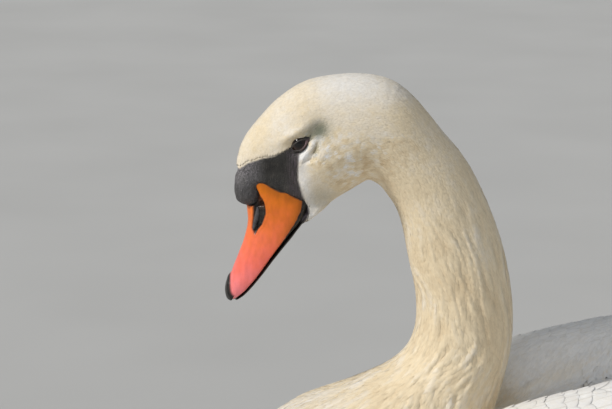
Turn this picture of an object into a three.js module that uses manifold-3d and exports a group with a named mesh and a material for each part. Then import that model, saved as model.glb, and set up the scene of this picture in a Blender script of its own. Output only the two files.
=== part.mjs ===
// A life-size mute swan resting on its belly, with its neck raised in an S and its bill held low.
// Units are millimetres. The bird faces -Y, its left is +X and up is +Z. It rests on the plane z = 0.
import * as THREE from "three";
import { mergeVertices } from "three/addons/utils/BufferGeometryUtils.js";
import Module from "manifold-3d";

const wasm = await Module();
wasm.setup();

// ---------------------------------------------------------------- driving sizes
const CUT = 0.3; // gap left between two touching pieces
const FLOOR_DEPTH = 60; // how deep the block that planes the underside reaches below z = 0
const EYE_RADIUS = 8.5;
const EYE_CENTRE = [20.2, -323.5, 423.5];
const KNOB_CENTRE = [0, -364.2, 384.5];
const KNOB_RADII = [11.6, 11.8, 15];
const KNOB_TILT = -0.1;
const TARSUS_RADIUS = 6.6;
const TOE_RADIUS = 5.2;
const WEB_THICKNESS = 3.2;
const CLAW_LENGTH = 13;

// ---------------------------------------------------------------- materials
function material(name, color, roughness) {
  const made = new THREE.MeshStandardMaterial({ color, roughness, metalness: 0 });
  made.name = name;
  return made;
}
const PLUMAGE = material("plumage_white", 0xf1eee6, 0.85);
const NECK_PLUMAGE = material("plumage_cream", 0xe6d9bd, 0.85);
const BARE_SKIN = material("black_skin", 0x25221f, 0.6);
const BILL_HORN = material("orange_bill", 0xe8622c, 0.4);
const EYE_GLOSS = material("eye_brown", 0x1c120c, 0.1);
const LEG_SKIN = material("leg_black", 0x2b2a28, 0.65);

// ---------------------------------------------------------------- the body as rings
// Each ring crosses the body from a ventral point v to a dorsal point d, both as [y, z] in the middle plane.
// w is its half width, at the share m of the way from v to d. top and bot are the exponents of the
// superellipse above and below that level: 2 is an ellipse, and more is squarer.
const HEAD_RINGS = [
  { v: [-315, 362], d: [-370, 391], w: 17.5, m: 0.42, top: 2.2, bot: 2.4 }, // base of the bill
  { v: [-309, 366.4], d: [-373.6, 404], w: 19.5, m: 0.42, top: 2.1, bot: 2.3 },
  { v: [-302.5, 372], d: [-368.2, 422.5], w: 23, m: 0.44, top: 2.1, bot: 2.2 },
  { v: [-296, 377], d: [-355.4, 439.8], w: 27, m: 0.45, top: 2.1, bot: 2.1 },
  { v: [-289.5, 381], d: [-340.3, 455.3], w: 30, m: 0.45, top: 2.1, bot: 2.1 }, // just behind the eyes
  { v: [-283.5, 384.8], d: [-321, 467.5], w: 31.5, m: 0.45, top: 2.1, bot: 2.1 },
  { v: [-277.5, 388.6], d: [-299, 472.3], w: 32.5, m: 0.46, top: 2.1, bot: 2.1 },
  { v: [-272.5, 391.2], d: [-275.5, 473.2], w: 33, m: 0.48, top: 2, bot: 2 },
  { v: [-268.8, 390], d: [-253.7, 468], w: 33, m: 0.5, top: 2, bot: 2 },
];
const NAPE_RING = { v: [-264.3, 387.2], d: [-235.2, 453], w: 33, m: 0.5, top: 2, bot: 2 };
const NECK_RINGS = [
  { v: [-258, 380.5], d: [-217.9, 431.6], w: 32.5, m: 0.5, top: 2, bot: 2 },
  { v: [-249.5, 367], d: [-199.5, 409.7], w: 32.5, m: 0.5, top: 2, bot: 2 },
  { v: [-244.8, 350], d: [-186.2, 386.6], w: 33, m: 0.5, top: 2, bot: 2 },
  { v: [-241.5, 332], d: [-175, 361], w: 33.5, m: 0.5, top: 2, bot: 2 },
  { v: [-237, 313], d: [-166, 333], w: 34.5, m: 0.5, top: 2, bot: 2 },
  { v: [-234, 295], d: [-160, 303], w: 35.5, m: 0.5, top: 2, bot: 2 },
  { v: [-234.5, 275], d: [-158, 273], w: 37, m: 0.5, top: 2, bot: 2 },
  { v: [-241.5, 255], d: [-161, 248], w: 40.5, m: 0.48, top: 2, bot: 2 },
  { v: [-262, 237], d: [-167, 224], w: 48, m: 0.46, top: 2, bot: 2 },
];
const NECK_BASE_RING = { v: [-299, 220.5], d: [-173, 203], w: 60, m: 0.47, top: 2, bot: 2 };
const TRUNK_RINGS = [
  { v: [-340, 203], d: [-176, 193], w: 76, m: 0.5, top: 2, bot: 2 },
  { v: [-369, 177], d: [-173, 190], w: 93, m: 0.52, top: 2, bot: 2 },
  { v: [-383.5, 144], d: [-168, 191], w: 110, m: 0.52, top: 2, bot: 2 },
  { v: [-386, 107], d: [-160, 195], w: 124, m: 0.52, top: 2, bot: 2 },
  { v: [-377, 69], d: [-150, 200], w: 134, m: 0.52, top: 2, bot: 2 },
  { v: [-351, 34], d: [-138, 206], w: 142, m: 0.52, top: 2.05, bot: 2.05 },
  { v: [-304, 7], d: [-122, 213], w: 148, m: 0.52, top: 2.1, bot: 2.1 },
  { v: [-245, -7], d: [-100, 220], w: 151, m: 0.51, top: 2.1, bot: 2.1 },
  { v: [-175, -9], d: [-72, 227], w: 153, m: 0.5, top: 2.1, bot: 2.1 },
  { v: [-100, -9], d: [-35, 233], w: 153, m: 0.5, top: 2.1, bot: 2.1 },
  { v: [-20, -9], d: [15, 236], w: 151, m: 0.5, top: 2.1, bot: 2.1 },
  { v: [60, -5], d: [75, 234], w: 144, m: 0.5, top: 2.1, bot: 2.1 },
  { v: [130, 8], d: [135, 226], w: 127, m: 0.5, top: 2.05, bot: 2.05 },
  { v: [185, 34], d: [188, 210], w: 102, m: 0.5, top: 2, bot: 2 },
  { v: [228, 66], d: [230, 190], w: 74, m: 0.5, top: 2, bot: 2 },
  { v: [258, 93], d: [261, 168], w: 46, m: 0.5, top: 2, bot: 2 },
  { v: [280, 114], d: [282, 145], w: 18, m: 0.5, top: 2, bot: 2 },
];
const BODY_RINGS = [...HEAD_RINGS, NAPE_RING, ...NECK_RINGS, NECK_BASE_RING, ...TRUNK_RINGS];
const AT_NAPE = HEAD_RINGS.length;
const AT_NECK_BASE = AT_NAPE + 1 + NECK_RINGS.length;

// ---------------------------------------------------------------- loft helpers
// A smooth value between the numbers of a list, at a place such as 2.5.
function smooth(list, at) {
  const i = Math.min(Math.max(Math.floor(at), 0), list.length - 2);
  const t = at - i;
  const before = list[Math.max(i - 1, 0)];
  const after = list[Math.min(i + 2, list.length - 1)];
  const [a, b] = [list[i], list[i + 1]];
  const slopeA = (b - before) / 2;
  const slopeB = (after - a) / 2;
  const h = t * t * (3 - 2 * t);
  return a * (1 - h) + b * h + slopeA * t * (1 - t) ** 2 - slopeB * t * t * (1 - t);
}

// The ring of a table at a place between its rows.
function ringAt(table, at) {
  const read = (pick) => smooth(table.map(pick), at);
  return {
    v: [read((r) => r.v[0]), read((r) => r.v[1])],
    d: [read((r) => r.d[0]), read((r) => r.d[1])],
    w: read((r) => r.w),
    m: read((r) => r.m),
    top: read((r) => r.top),
    bot: read((r) => r.bot),
  };
}

const signedPower = (value, power) => Math.sign(value) * Math.abs(value) ** power;

// The points of a ring, from the belly up the left side, over the back and down the right side.
function ringPoints(ring, count) {
  const { v, d, w, m, top, bot } = ring;
  return Array.from({ length: count }, (_, i) => {
    const angle = -Math.PI / 2 + (2 * Math.PI * i) / count;
    const power = 2 / (Math.sin(angle) > 0 ? top : bot);
    const across = w * signedPower(Math.cos(angle), power);
    const rise = signedPower(Math.sin(angle), power);
    const share = rise > 0 ? m + rise * (1 - m) : m + rise * m;
    return new THREE.Vector3(across, v[0] + (d[0] - v[0]) * share, v[1] + (d[1] - v[1]) * share);
  });
}

// Six times the volume inside a list of triangles: negative when they face inwards.
function signedVolume(points, faces) {
  let sum = 0;
  for (let i = 0; i < faces.length; i += 3) {
    const [a, b, c] = [points[faces[i]], points[faces[i + 1]], points[faces[i + 2]]];
    sum += a.clone().cross(b).dot(c);
  }
  return sum;
}

// Closes a stack of rings, each a list of as many points, into one geometry with a flat cap at each end.
function closedLoft(rings) {
  const count = rings[0].length;
  const points = rings.flat();
  const faces = [];
  for (let r = 0; r < rings.length - 1; r++) {
    for (let i = 0; i < count; i++) {
      const j = (i + 1) % count;
      const [a, b] = [r * count + i, r * count + j];
      faces.push(a, b, a + count, b, b + count, a + count);
    }
  }
  [0, rings.length - 1].forEach((r) => {
    const middle = points.length;
    points.push(rings[r].reduce((sum, p) => sum.add(p), new THREE.Vector3()).divideScalar(count));
    for (let i = 0; i < count; i++) {
      const [a, b] = [r * count + i, r * count + ((i + 1) % count)];
      faces.push(...(r === 0 ? [b, a, middle] : [a, b, middle]));
    }
  });
  if (signedVolume(points, faces) < 0) faces.reverse();
  const geometry = new THREE.BufferGeometry().setFromPoints(points);
  geometry.setIndex(faces);
  return geometry;
}

// ---------------------------------------------------------------- solids and booleans
// A geometry as a manifold solid.
function solid(geometry) {
  const bare = new THREE.BufferGeometry();
  bare.setAttribute("position", geometry.getAttribute("position"));
  bare.setIndex(geometry.index);
  const merged = mergeVertices(bare, 1e-4);
  const triVerts = new Uint32Array(merged.index.array);
  const vertProperties = new Float32Array(merged.attributes.position.array);
  return new wasm.Manifold(new wasm.Mesh({ numProp: 3, vertProperties, triVerts }));
}

// A manifold solid as a geometry, without the specks that a cut can leave.
function geometryOf(shape) {
  const largest = shape.decompose().reduce((best, part) => (part.volume() > best.volume() ? part : best));
  const mesh = largest.getMesh();
  const geometry = new THREE.BufferGeometry();
  geometry.setAttribute("position", new THREE.BufferAttribute(new Float32Array(mesh.vertProperties), 3));
  geometry.setIndex(new THREE.BufferAttribute(new Uint32Array(mesh.triVerts), 1));
  return geometry;
}

// The same closed geometry, grown: each vertex is pushed out until it clears every face around it.
function grown(geometry, distance) {
  const bare = geometry.clone();
  bare.deleteAttribute("normal");
  bare.deleteAttribute("uv");
  const moved = mergeVertices(bare, 1e-4);
  const place = moved.attributes.position;
  const faces = moved.index.array;
  const around = Array.from({ length: place.count }, () => []);
  const corner = (i) => new THREE.Vector3().fromBufferAttribute(place, faces[i]);
  for (let i = 0; i < faces.length; i += 3) {
    const [a, b, c] = [corner(i), corner(i + 1), corner(i + 2)];
    const normal = b.sub(a).cross(c.sub(a));
    if (normal.length() < 1e-6) continue;
    normal.normalize();
    for (let k = 0; k < 3; k++) around[faces[i + k]].push(normal);
  }
  around.forEach((normals, i) => {
    const push = new THREE.Vector3();
    for (let pass = 0; pass < 30; pass++) {
      normals.forEach((n) => push.addScaledVector(n, Math.max(distance - n.dot(push), 0)));
    }
    push.clampLength(0, distance * 3);
    place.setXYZ(i, place.getX(i) + push.x, place.getY(i) + push.y, place.getZ(i) + push.z);
  });
  return moved;
}

function box(low, high) {
  const geometry = new THREE.BoxGeometry(high[0] - low[0], high[1] - low[1], high[2] - low[2]);
  geometry.translate((low[0] + high[0]) / 2, (low[1] + high[1]) / 2, (low[2] + high[2]) / 2);
  return geometry;
}

const GROUND = solid(box([-400, -600, -FLOOR_DEPTH], [400, 600, 0]));

const swan = new THREE.Group();
function place(name, geometry, look) {
  const mesh = new THREE.Mesh(geometry, look);
  mesh.name = name;
  swan.add(mesh);
}

// ---------------------------------------------------------------- relief of the head
// Soft swellings and hollows of the face, each an oval push along X about a point of the head's side.
const FACE_RELIEF = [
  { at: [-326, 432], size: [15, 6], push: 2.2 }, // brow
  { at: [-324, 421], size: [9, 8], push: -2.6 }, // socket
  { at: [-306, 436], size: [15, 9], push: -2.2 }, // hollow behind the brow
  { at: [-303, 408], size: [17, 15], push: 2.2 }, // cheek
  { at: [-340, 396], size: [15, 13], push: -2.4 }, // lore, between the bill and the eye
];
function withRelief(point) {
  const side = Math.sign(point.x);
  const push = FACE_RELIEF.reduce((sum, bump) => {
    const u = (point.y - bump.at[0]) / bump.size[0];
    const v = (point.z - bump.at[1]) / bump.size[1];
    return sum + bump.push * Math.exp(-u * u - v * v);
  }, 0);
  const nearSide = Math.min(Math.abs(point.x) / 14, 1); // fades out towards the middle of the head
  return new THREE.Vector3(point.x + side * push * nearSide, point.y, point.z);
}

// A stretch of the body between two places of the ring table. Its ends are drawn in by half a cut.
function bodyStretch(from, to, rings, around, relief = (p) => p) {
  const made = [];
  for (let i = 0; i < rings; i++) {
    const ring = ringAt(BODY_RINGS, from + ((to - from) * i) / (rings - 1));
    made.push(ringPoints(ring, around).map(relief));
  }
  const inset = (end, next) => {
    const middle = (list) => list.reduce((sum, p) => sum.add(p), new THREE.Vector3()).divideScalar(list.length);
    const inward = middle(next).sub(middle(end));
    const across = end[Math.floor(around / 2)].clone().sub(end[0]);
    const normal = new THREE.Vector3(0, -across.z, across.y).normalize();
    if (normal.dot(inward) < 0) normal.negate();
    return end.map((p) => p.clone().addScaledVector(normal, CUT / 2));
  };
  made[0] = inset(made[0], made[1]);
  made[rings - 1] = inset(made[rings - 1], made[rings - 2]);
  return closedLoft(made);
}

// ---------------------------------------------------------------- head, neck and trunk
const AROUND_HEAD = 28;
const AROUND_NECK = 22;
const AROUND_TRUNK = 26;
const ACROSS_WING = 8;
const headShape = bodyStretch(0, AT_NAPE, 22, AROUND_HEAD, withRelief);

// The bare black skin runs from the bill back to the eyes: this outline is its edge, as [y, z].
const MASK_EDGE = [
  [-390, 398], [-371.5, 400], [-364.7, 406.5], [-354, 411], [-344, 413.5], [-333, 420], [-327, 419],
  [-326, 405], [-324.5, 392], [-321, 378], [-316, 367], [-309, 352], [-390, 340],
];
function sidePrism(outline, halfWidth) {
  const shape = new THREE.Shape(outline.map(([y, z]) => new THREE.Vector2(y, z)));
  const geometry = new THREE.ExtrudeGeometry(shape, { depth: 2 * halfWidth, bevelEnabled: false });
  // The outline's plane becomes YZ, and its depth runs along X.
  geometry.applyMatrix4(new THREE.Matrix4().set(0, 0, 1, -halfWidth, 1, 0, 0, 0, 0, 1, 0, 0, 0, 0, 0, 1));
  return mergeVertices(geometry.deleteAttribute("normal").deleteAttribute("uv"), 1e-4);
}
const maskPrism = sidePrism(MASK_EDGE, 60);
// Everything inside this outline, also as [y, z], is bill: its slanting edge is where horn meets skin.
const HORN_EDGE = [
  [-420, 395], [-361, 393], [-341.5, 385], [-323.5, 378], [-319, 373], [-318, 366], [-316, 280], [-420, 280],
];
const hornPrism = sidePrism(HORN_EDGE, 60);
const hornRoom = solid(grown(hornPrism, CUT));

function eyeball(side, radius) {
  const geometry = new THREE.SphereGeometry(radius, 12, 8);
  geometry.deleteAttribute("normal").deleteAttribute("uv");
  geometry.rotateZ(Math.PI / 2).translate(side * EYE_CENTRE[0], EYE_CENTRE[1], EYE_CENTRE[2]);
  return mergeVertices(geometry, 1e-3);
}
const sockets = solid(eyeball(1, EYE_RADIUS + CUT)).add(solid(eyeball(-1, EYE_RADIUS + CUT)));

const featheredHead = solid(headShape).subtract(solid(grown(maskPrism, CUT))).subtract(hornRoom);
place("head", geometryOf(featheredHead.subtract(sockets)), PLUMAGE);
const maskSolid = solid(headShape).intersect(solid(maskPrism)).subtract(sockets);
place("face_mask", geometryOf(maskSolid.subtract(hornRoom)), BARE_SKIN);
place("eye_left", eyeball(1, EYE_RADIUS), EYE_GLOSS);
place("eye_right", eyeball(-1, EYE_RADIUS), EYE_GLOSS);

const NECK_CUTS = [AT_NAPE, AT_NAPE + 3.4, AT_NAPE + 6.8, AT_NECK_BASE];
["neck_upper", "neck_middle", "neck_lower"].forEach((name, i) => {
  place(name, bodyStretch(NECK_CUTS[i], NECK_CUTS[i + 1], 7, AROUND_NECK), NECK_PLUMAGE);
});

const trunkShape = bodyStretch(AT_NECK_BASE, BODY_RINGS.length - 1, 22, AROUND_TRUNK);
const trunkSolid = solid(trunkShape).subtract(GROUND);
const trunkRoom = solid(grown(trunkShape, CUT));
place("trunk", geometryOf(trunkSolid), PLUMAGE);

// ---------------------------------------------------------------- wings
// Each row crosses the folded left wing at one y, in the XZ plane: its inner edge by the spine, its ridge,
// its widest point and its lower edge, and how deep the wing reaches inwards from there.
const WING_RINGS = [
  { y: -199, inner: [64, 200], ridge: [80, 209], side: [99, 192], low: [106, 168], edge: 9, deep: 12 },
  { y: -187, inner: [50, 203], ridge: [79, 225], side: [124, 188], low: [127, 136], edge: 22, deep: 36 },
  { y: -162, inner: [40, 207], ridge: [79, 236], side: [144, 190], low: [146, 110], edge: 26, deep: 50 },
  { y: -120, inner: [33, 215], ridge: [80, 247], side: [160, 193], low: [159, 93], edge: 28, deep: 55 },
  { y: -60, inner: [22, 229], ridge: [78, 260], side: [170, 196], low: [166, 83], edge: 30, deep: 60 },
  { y: 10, inner: [8, 244], ridge: [68, 268], side: [173, 196], low: [166, 80], edge: 30, deep: 60 },
  { y: 80, inner: [3, 252], ridge: [56, 266], side: [165, 192], low: [158, 86], edge: 30, deep: 56 },
  { y: 145, inner: [1.5, 246], ridge: [46, 254], side: [145, 186], low: [142, 100], edge: 28, deep: 50 },
  { y: 200, inner: [1.5, 227], ridge: [38, 232], side: [115, 178], low: [118, 118], edge: 25, deep: 40 },
  { y: 245, inner: [1.5, 206], ridge: [31, 209], side: [85, 170], low: [95, 134], edge: 16, deep: 24 },
  { y: 285, inner: [2, 187], ridge: [25, 189], side: [60, 163], low: [71, 143], edge: 9, deep: 14 },
  { y: 315, inner: [5, 172], ridge: [20, 173], side: [40, 158], low: [50, 148], edge: 6, deep: 9 },
  { y: 330, inner: [14, 162], ridge: [22, 163], side: [31, 157], low: [37, 152], edge: 4, deep: 5 },
];

function wingRing(at, side) {
  const read = (pick) => smooth(WING_RINGS.map(pick), at);
  const y = read((r) => r.y);
  const outline = ["inner", "ridge", "side", "low"].map(
    (key) => new THREE.Vector3(read((r) => r[key][0]), y, read((r) => r[key][1])),
  );
  const [edge, deep] = [read((r) => r.edge), read((r) => r.deep)];
  const curve = new THREE.CatmullRomCurve3(outline, false, "centripetal");
  const outer = curve.getPoints(ACROSS_WING);
  const inner = outer.map((p, i) => {
    const along = curve.getTangent(i / ACROSS_WING);
    const inward = new THREE.Vector3(along.z, 0, -along.x);
    const swell = Math.sin((Math.PI * i) / ACROSS_WING);
    return p.clone().addScaledVector(inward, edge + (deep - edge) * swell);
  });
  return [...outer, ...inner.reverse()].map((p) => new THREE.Vector3(side * p.x, p.y, p.z));
}

const FLIGHT_CUT = 8.3; // the row where the coverts end and the flight feathers' tips begin
function wingStretch(side, from, to, rings, drawIn = 0) {
  const made = Array.from({ length: rings }, (_, i) => wingRing(from + ((to - from) * i) / (rings - 1), side));
  if (drawIn) made[0].forEach((p) => (p.y += drawIn));
  return closedLoft(made);
}
const wingShapes = [];
[["left", 1], ["right", -1]].forEach(([name, side]) => {
  const coverts = solid(wingStretch(side, 0, FLIGHT_CUT, 12)).subtract(trunkRoom);
  const flight = solid(wingStretch(side, FLIGHT_CUT, WING_RINGS.length - 1, 6, CUT)).subtract(trunkRoom);
  const covertsGeometry = geometryOf(coverts);
  const flightGeometry = geometryOf(flight);
  wingShapes.push(covertsGeometry, flightGeometry);
  place(`wing_${name}`, covertsGeometry, PLUMAGE);
  place(`wing_${name}_flight`, flightGeometry, PLUMAGE);
});

// ---------------------------------------------------------------- tail
const TAIL_RINGS = [
  { v: [212, 112], d: [212, 156], w: 46, m: 0.5, top: 2.2, bot: 2.2 },
  { v: [245, 112], d: [245, 150], w: 58, m: 0.55, top: 2.2, bot: 2.2 },
  { v: [285, 116], d: [285, 143], w: 64, m: 0.6, top: 2.3, bot: 2.3 },
  { v: [325, 121], d: [325, 138], w: 60, m: 0.6, top: 2.4, bot: 2.4 },
  { v: [355, 124], d: [355, 135], w: 46, m: 0.6, top: 2.4, bot: 2.4 },
  { v: [376, 126.5], d: [376, 133.5], w: 27, m: 0.6, top: 2.4, bot: 2.4 },
  { v: [386, 128], d: [386, 132.5], w: 10, m: 0.6, top: 2.4, bot: 2.4 },
];
function tableLoft(table, rings, around) {
  const last = table.length - 1;
  return closedLoft(
    Array.from({ length: rings }, (_, i) => ringPoints(ringAt(table, (last * i) / (rings - 1)), around)),
  );
}
let tailSolid = solid(tableLoft(TAIL_RINGS, 9, 14)).subtract(trunkRoom);
wingShapes.forEach((shape) => (tailSolid = tailSolid.subtract(solid(grown(shape, CUT)))));
place("tail", geometryOf(tailSolid), PLUMAGE);

// ---------------------------------------------------------------- bill
const UPPER_BILL_RINGS = [
  { v: [-313, 381], d: [-362, 400], w: 18.8, m: 0.3, top: 2.4, bot: 2.4 },
  { v: [-317, 372], d: [-364.5, 390.5], w: 18.2, m: 0.25, top: 2.5, bot: 2.6 },
  { v: [-320.5, 364.5], d: [-366, 380], w: 17.8, m: 0.18, top: 2.4, bot: 2.8 },
  { v: [-325.5, 358], d: [-365.6, 370], w: 17.2, m: 0.12, top: 2.3, bot: 3 },
  { v: [-333, 349], d: [-365, 357.5], w: 16.5, m: 0.1, top: 2.1, bot: 3 },
  { v: [-341, 338.5], d: [-367.5, 345.5], w: 15.8, m: 0.1, top: 2.1, bot: 3 },
  { v: [-348.5, 328.5], d: [-371.5, 334.5], w: 15.2, m: 0.12, top: 2.1, bot: 3 },
  { v: [-356, 318], d: [-375.8, 323.5], w: 14.7, m: 0.14, top: 2.2, bot: 3 },
  { v: [-363, 309], d: [-379.5, 313.5], w: 13.8, m: 0.18, top: 2.3, bot: 3 },
  { v: [-369, 302], d: [-381.5, 305], w: 11.6, m: 0.25, top: 2.3, bot: 3 },
  { v: [-374, 297.5], d: [-380.5, 299], w: 7, m: 0.3, top: 2.2, bot: 3 },
];
const LOWER_BILL_RINGS = [
  { v: [-313.5, 363.5], d: [-317.5, 366.5], w: 14.6, m: 0.6, top: 2.6, bot: 2.2 },
  { v: [-322.2, 355.1], d: [-324.4, 357.9], w: 14.8, m: 0.6, top: 2.6, bot: 2.2 },
  { v: [-330.8, 346.8], d: [-332.6, 348.4], w: 14.4, m: 0.6, top: 2.6, bot: 2.2 },
  { v: [-338.9, 336.6], d: [-340.6, 338], w: 14, m: 0.6, top: 2.6, bot: 2.2 },
  { v: [-346.5, 326.6], d: [-348.1, 328], w: 13.4, m: 0.6, top: 2.6, bot: 2.2 },
  { v: [-354.2, 316.2], d: [-355.6, 317.5], w: 12.8, m: 0.6, top: 2.6, bot: 2.2 },
  { v: [-361.4, 307.2], d: [-362.7, 308.4], w: 11.8, m: 0.6, top: 2.6, bot: 2.2 },
  { v: [-367.6, 300.4], d: [-368.7, 301.4], w: 9.6, m: 0.6, top: 2.6, bot: 2.2 },
  { v: [-372.6, 296.2], d: [-373.4, 296.9], w: 5.6, m: 0.6, top: 2.6, bot: 2.2 },
];
const upperGeometry = geometryOf(solid(tableLoft(UPPER_BILL_RINGS, 13, 16)).intersect(solid(hornPrism)));
const upperRoom = solid(grown(upperGeometry, CUT));
place("bill_upper", upperGeometry, BILL_HORN);
const lowerLoft = tableLoft(LOWER_BILL_RINGS, 9, 12);
place("bill_lower", geometryOf(solid(lowerLoft).intersect(solid(hornPrism)).subtract(upperRoom)), BARE_SKIN);

function ellipsoid(radii, segments, rows) {
  const geometry = new THREE.SphereGeometry(1, segments, rows);
  geometry.deleteAttribute("normal").deleteAttribute("uv").scale(...radii);
  return mergeVertices(geometry, 1e-4);
}
const knobShape = ellipsoid(KNOB_RADII, 12, 8).rotateX(KNOB_TILT).translate(...KNOB_CENTRE);
const headRoom = solid(grown(headShape, CUT));
place("bill_knob", geometryOf(solid(knobShape).subtract(headRoom).subtract(upperRoom)), BARE_SKIN);

const NAIL_RADII = [7.2, 4.2, 10];
const NAIL_CENTRE = [0, -378.6, 303.6];
const NAIL_TILT = -0.2;
const nailShape = ellipsoid(NAIL_RADII, 12, 8).rotateX(NAIL_TILT).translate(...NAIL_CENTRE);
const lowerRoom = solid(grown(lowerLoft, CUT));
place("bill_nail", geometryOf(solid(nailShape).subtract(upperRoom).subtract(lowerRoom)), BARE_SKIN);

// ---------------------------------------------------------------- legs and feet
// A round bar along a line of points, with a radius at each.
function bar(points, radii, around, rings) {
  const curve = new THREE.CatmullRomCurve3(points.map((p) => new THREE.Vector3(...p)), false, "centripetal");
  const side = new THREE.Vector3(1, 0, 0);
  return closedLoft(
    Array.from({ length: rings }, (_, i) => {
      const t = i / (rings - 1);
      const centre = curve.getPoint(t);
      const along = curve.getTangent(t);
      const up = new THREE.Vector3().crossVectors(along, side).normalize();
      const out = new THREE.Vector3().crossVectors(up, along).normalize();
      const radius = smooth(radii, t * (radii.length - 1));
      return Array.from({ length: around }, (_, k) => {
        const angle = (2 * Math.PI * k) / around;
        return centre
          .clone()
          .addScaledVector(out, radius * Math.cos(angle))
          .addScaledVector(up, radius * Math.sin(angle));
      });
    }),
  );
}

const FOOT_JOINT = [108, -8, 7]; // where the tarsus meets the toes
const ANKLE = [104, 98, 11];
const SHIN_TOP = [112, 62, 52]; // where the shin goes into the flank
const TOES = [
  { tip: [66, -110], bend: 4 }, // inner
  { tip: [100, -146], bend: 2 }, // middle
  { tip: [142, -124], bend: -5 }, // outer
];
const HIND_TOE = [[98, 2, 10], [88, 16, 6.5], [82, 27, 3.6]];
const WEB_SAG = 13; // how far the web's front edge bows back between two toes

function toePath(toe) {
  const [x0, y0] = FOOT_JOINT;
  const [x1, y1] = toe.tip;
  return [0, 0.35, 0.7, 1].map((t) => [
    x0 + (x1 - x0) * t + toe.bend * Math.sin(Math.PI * t),
    y0 + (y1 - y0) * t,
    TOE_RADIUS * (1 - 0.3 * t) - 0.8,
  ]);
}

function webOutline() {
  const joint = new THREE.Vector2(FOOT_JOINT[0], FOOT_JOINT[1]);
  const tips = TOES.map((toe) => new THREE.Vector2(...toe.tip).lerp(joint, 0.04));
  const shape = new THREE.Shape();
  shape.moveTo(joint.x - 5, joint.y + 2);
  shape.lineTo(tips[0].x - 2, tips[0].y);
  for (let i = 0; i < tips.length - 1; i++) {
    const middle = tips[i].clone().lerp(tips[i + 1], 0.5);
    const back = joint.clone().sub(middle).setLength(WEB_SAG * 2);
    shape.quadraticCurveTo(middle.x + back.x, middle.y + back.y, tips[i + 1].x, tips[i + 1].y);
  }
  shape.lineTo(joint.x + 5, joint.y + 2);
  return shape;
}

function footSolid() {
  const web = new THREE.ExtrudeGeometry(webOutline(), { depth: WEB_THICKNESS, bevelEnabled: false, curveSegments: 3 });
  let foot = solid(mergeVertices(web.deleteAttribute("normal").deleteAttribute("uv"), 1e-4));
  TOES.forEach((toe) => {
    const path = toePath(toe);
    foot = foot.add(solid(bar(path, [TOE_RADIUS, TOE_RADIUS * 0.92, TOE_RADIUS * 0.85, TOE_RADIUS * 0.6], 6, 4)));
    const end = path[path.length - 1];
    const back = path[path.length - 2];
    const stride = Math.hypot(end[0] - back[0], end[1] - back[1]);
    const ahead = [(end[0] - back[0]) / stride, (end[1] - back[1]) / stride];
    const claw = [0, 0.5, 1].map((t) => [
      end[0] + ahead[0] * CLAW_LENGTH * (t - 0.15),
      end[1] + ahead[1] * CLAW_LENGTH * (t - 0.15),
      3.4 - 2.2 * t * t,
    ]);
    foot = foot.add(solid(bar(claw, [2.6, 2, 0.7], 6, 3)));
  });
  foot = foot.add(solid(bar(HIND_TOE, [4, 3.2, 1.6], 6, 4)));
  return foot.subtract(GROUND);
}

const legPath = [FOOT_JOINT, [106, 40, 9.5], ANKLE, [109, 92, 30], SHIN_TOP];
const legRadii = [TARSUS_RADIUS, TARSUS_RADIUS, TARSUS_RADIUS + 3.4, TARSUS_RADIUS + 3, TARSUS_RADIUS + 6];
const legShape = bar(legPath, legRadii, 8, 11);

function mirrored(geometry) {
  const turned = geometry.clone().scale(-1, 1, 1);
  const order = turned.index.array;
  for (let i = 0; i < order.length; i += 3) [order[i + 1], order[i + 2]] = [order[i + 2], order[i + 1]];
  return turned;
}
const footLeft = geometryOf(footSolid().subtract(trunkRoom));
const legLeft = geometryOf(
  solid(legShape).subtract(GROUND).subtract(trunkRoom).subtract(solid(grown(geometryOf(footSolid()), CUT))),
);
[["left", (g) => g], ["right", mirrored]].forEach(([name, turn]) => {
  place(`foot_${name}`, turn(footLeft), LEG_SKIN);
  place(`leg_${name}`, turn(legLeft), LEG_SKIN);
});

export default swan;
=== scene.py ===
# %% [markdown]
# # A resting mute swan, life size
# A swan at rest on its belly, neck up in an S and bill held low. The hard shapes come packed as solids,
# one for each part of the body. Here one soft skin goes over the flesh, and feathers are laid on the skin
# as they lie on the bird: velvet on the head, small soft tufts down the neck, rounded vanes on the body,
# and long stiff vanes for wings and tail.
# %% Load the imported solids
import itertools
import math

import bpy
import numpy as np
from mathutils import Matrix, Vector, kdtree
from mathutils.bvhtree import BVHTree


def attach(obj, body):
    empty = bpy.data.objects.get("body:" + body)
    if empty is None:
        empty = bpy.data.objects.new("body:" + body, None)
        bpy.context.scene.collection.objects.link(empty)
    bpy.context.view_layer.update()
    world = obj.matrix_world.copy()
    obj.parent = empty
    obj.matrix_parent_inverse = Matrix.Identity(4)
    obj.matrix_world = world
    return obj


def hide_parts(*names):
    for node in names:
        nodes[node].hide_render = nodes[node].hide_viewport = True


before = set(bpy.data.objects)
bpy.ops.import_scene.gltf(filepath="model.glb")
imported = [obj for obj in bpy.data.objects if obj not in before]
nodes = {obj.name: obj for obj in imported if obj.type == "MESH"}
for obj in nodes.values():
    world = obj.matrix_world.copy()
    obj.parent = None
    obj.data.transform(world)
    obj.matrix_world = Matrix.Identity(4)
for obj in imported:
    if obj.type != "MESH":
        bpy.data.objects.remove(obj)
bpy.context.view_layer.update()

MM = 0.001
SIDES = {1: "left", -1: "right"}

# %% [markdown]
# ## Small tools
# Feathers come by the ten thousand, so their meshes are written from number arrays in one go. These
# helpers select a piece, use an edit tool or a modifier on it, and read and write its points.
# %% Helpers for whole pieces
def pick(*objects):
    """Select these objects and nothing else."""
    if bpy.context.object and bpy.context.object.mode != "OBJECT":
        bpy.ops.object.mode_set(mode="OBJECT")
    bpy.ops.object.select_all(action="DESELECT")
    for obj in objects:
        obj.select_set(True)
        bpy.context.view_layer.objects.active = objects[0]


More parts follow.
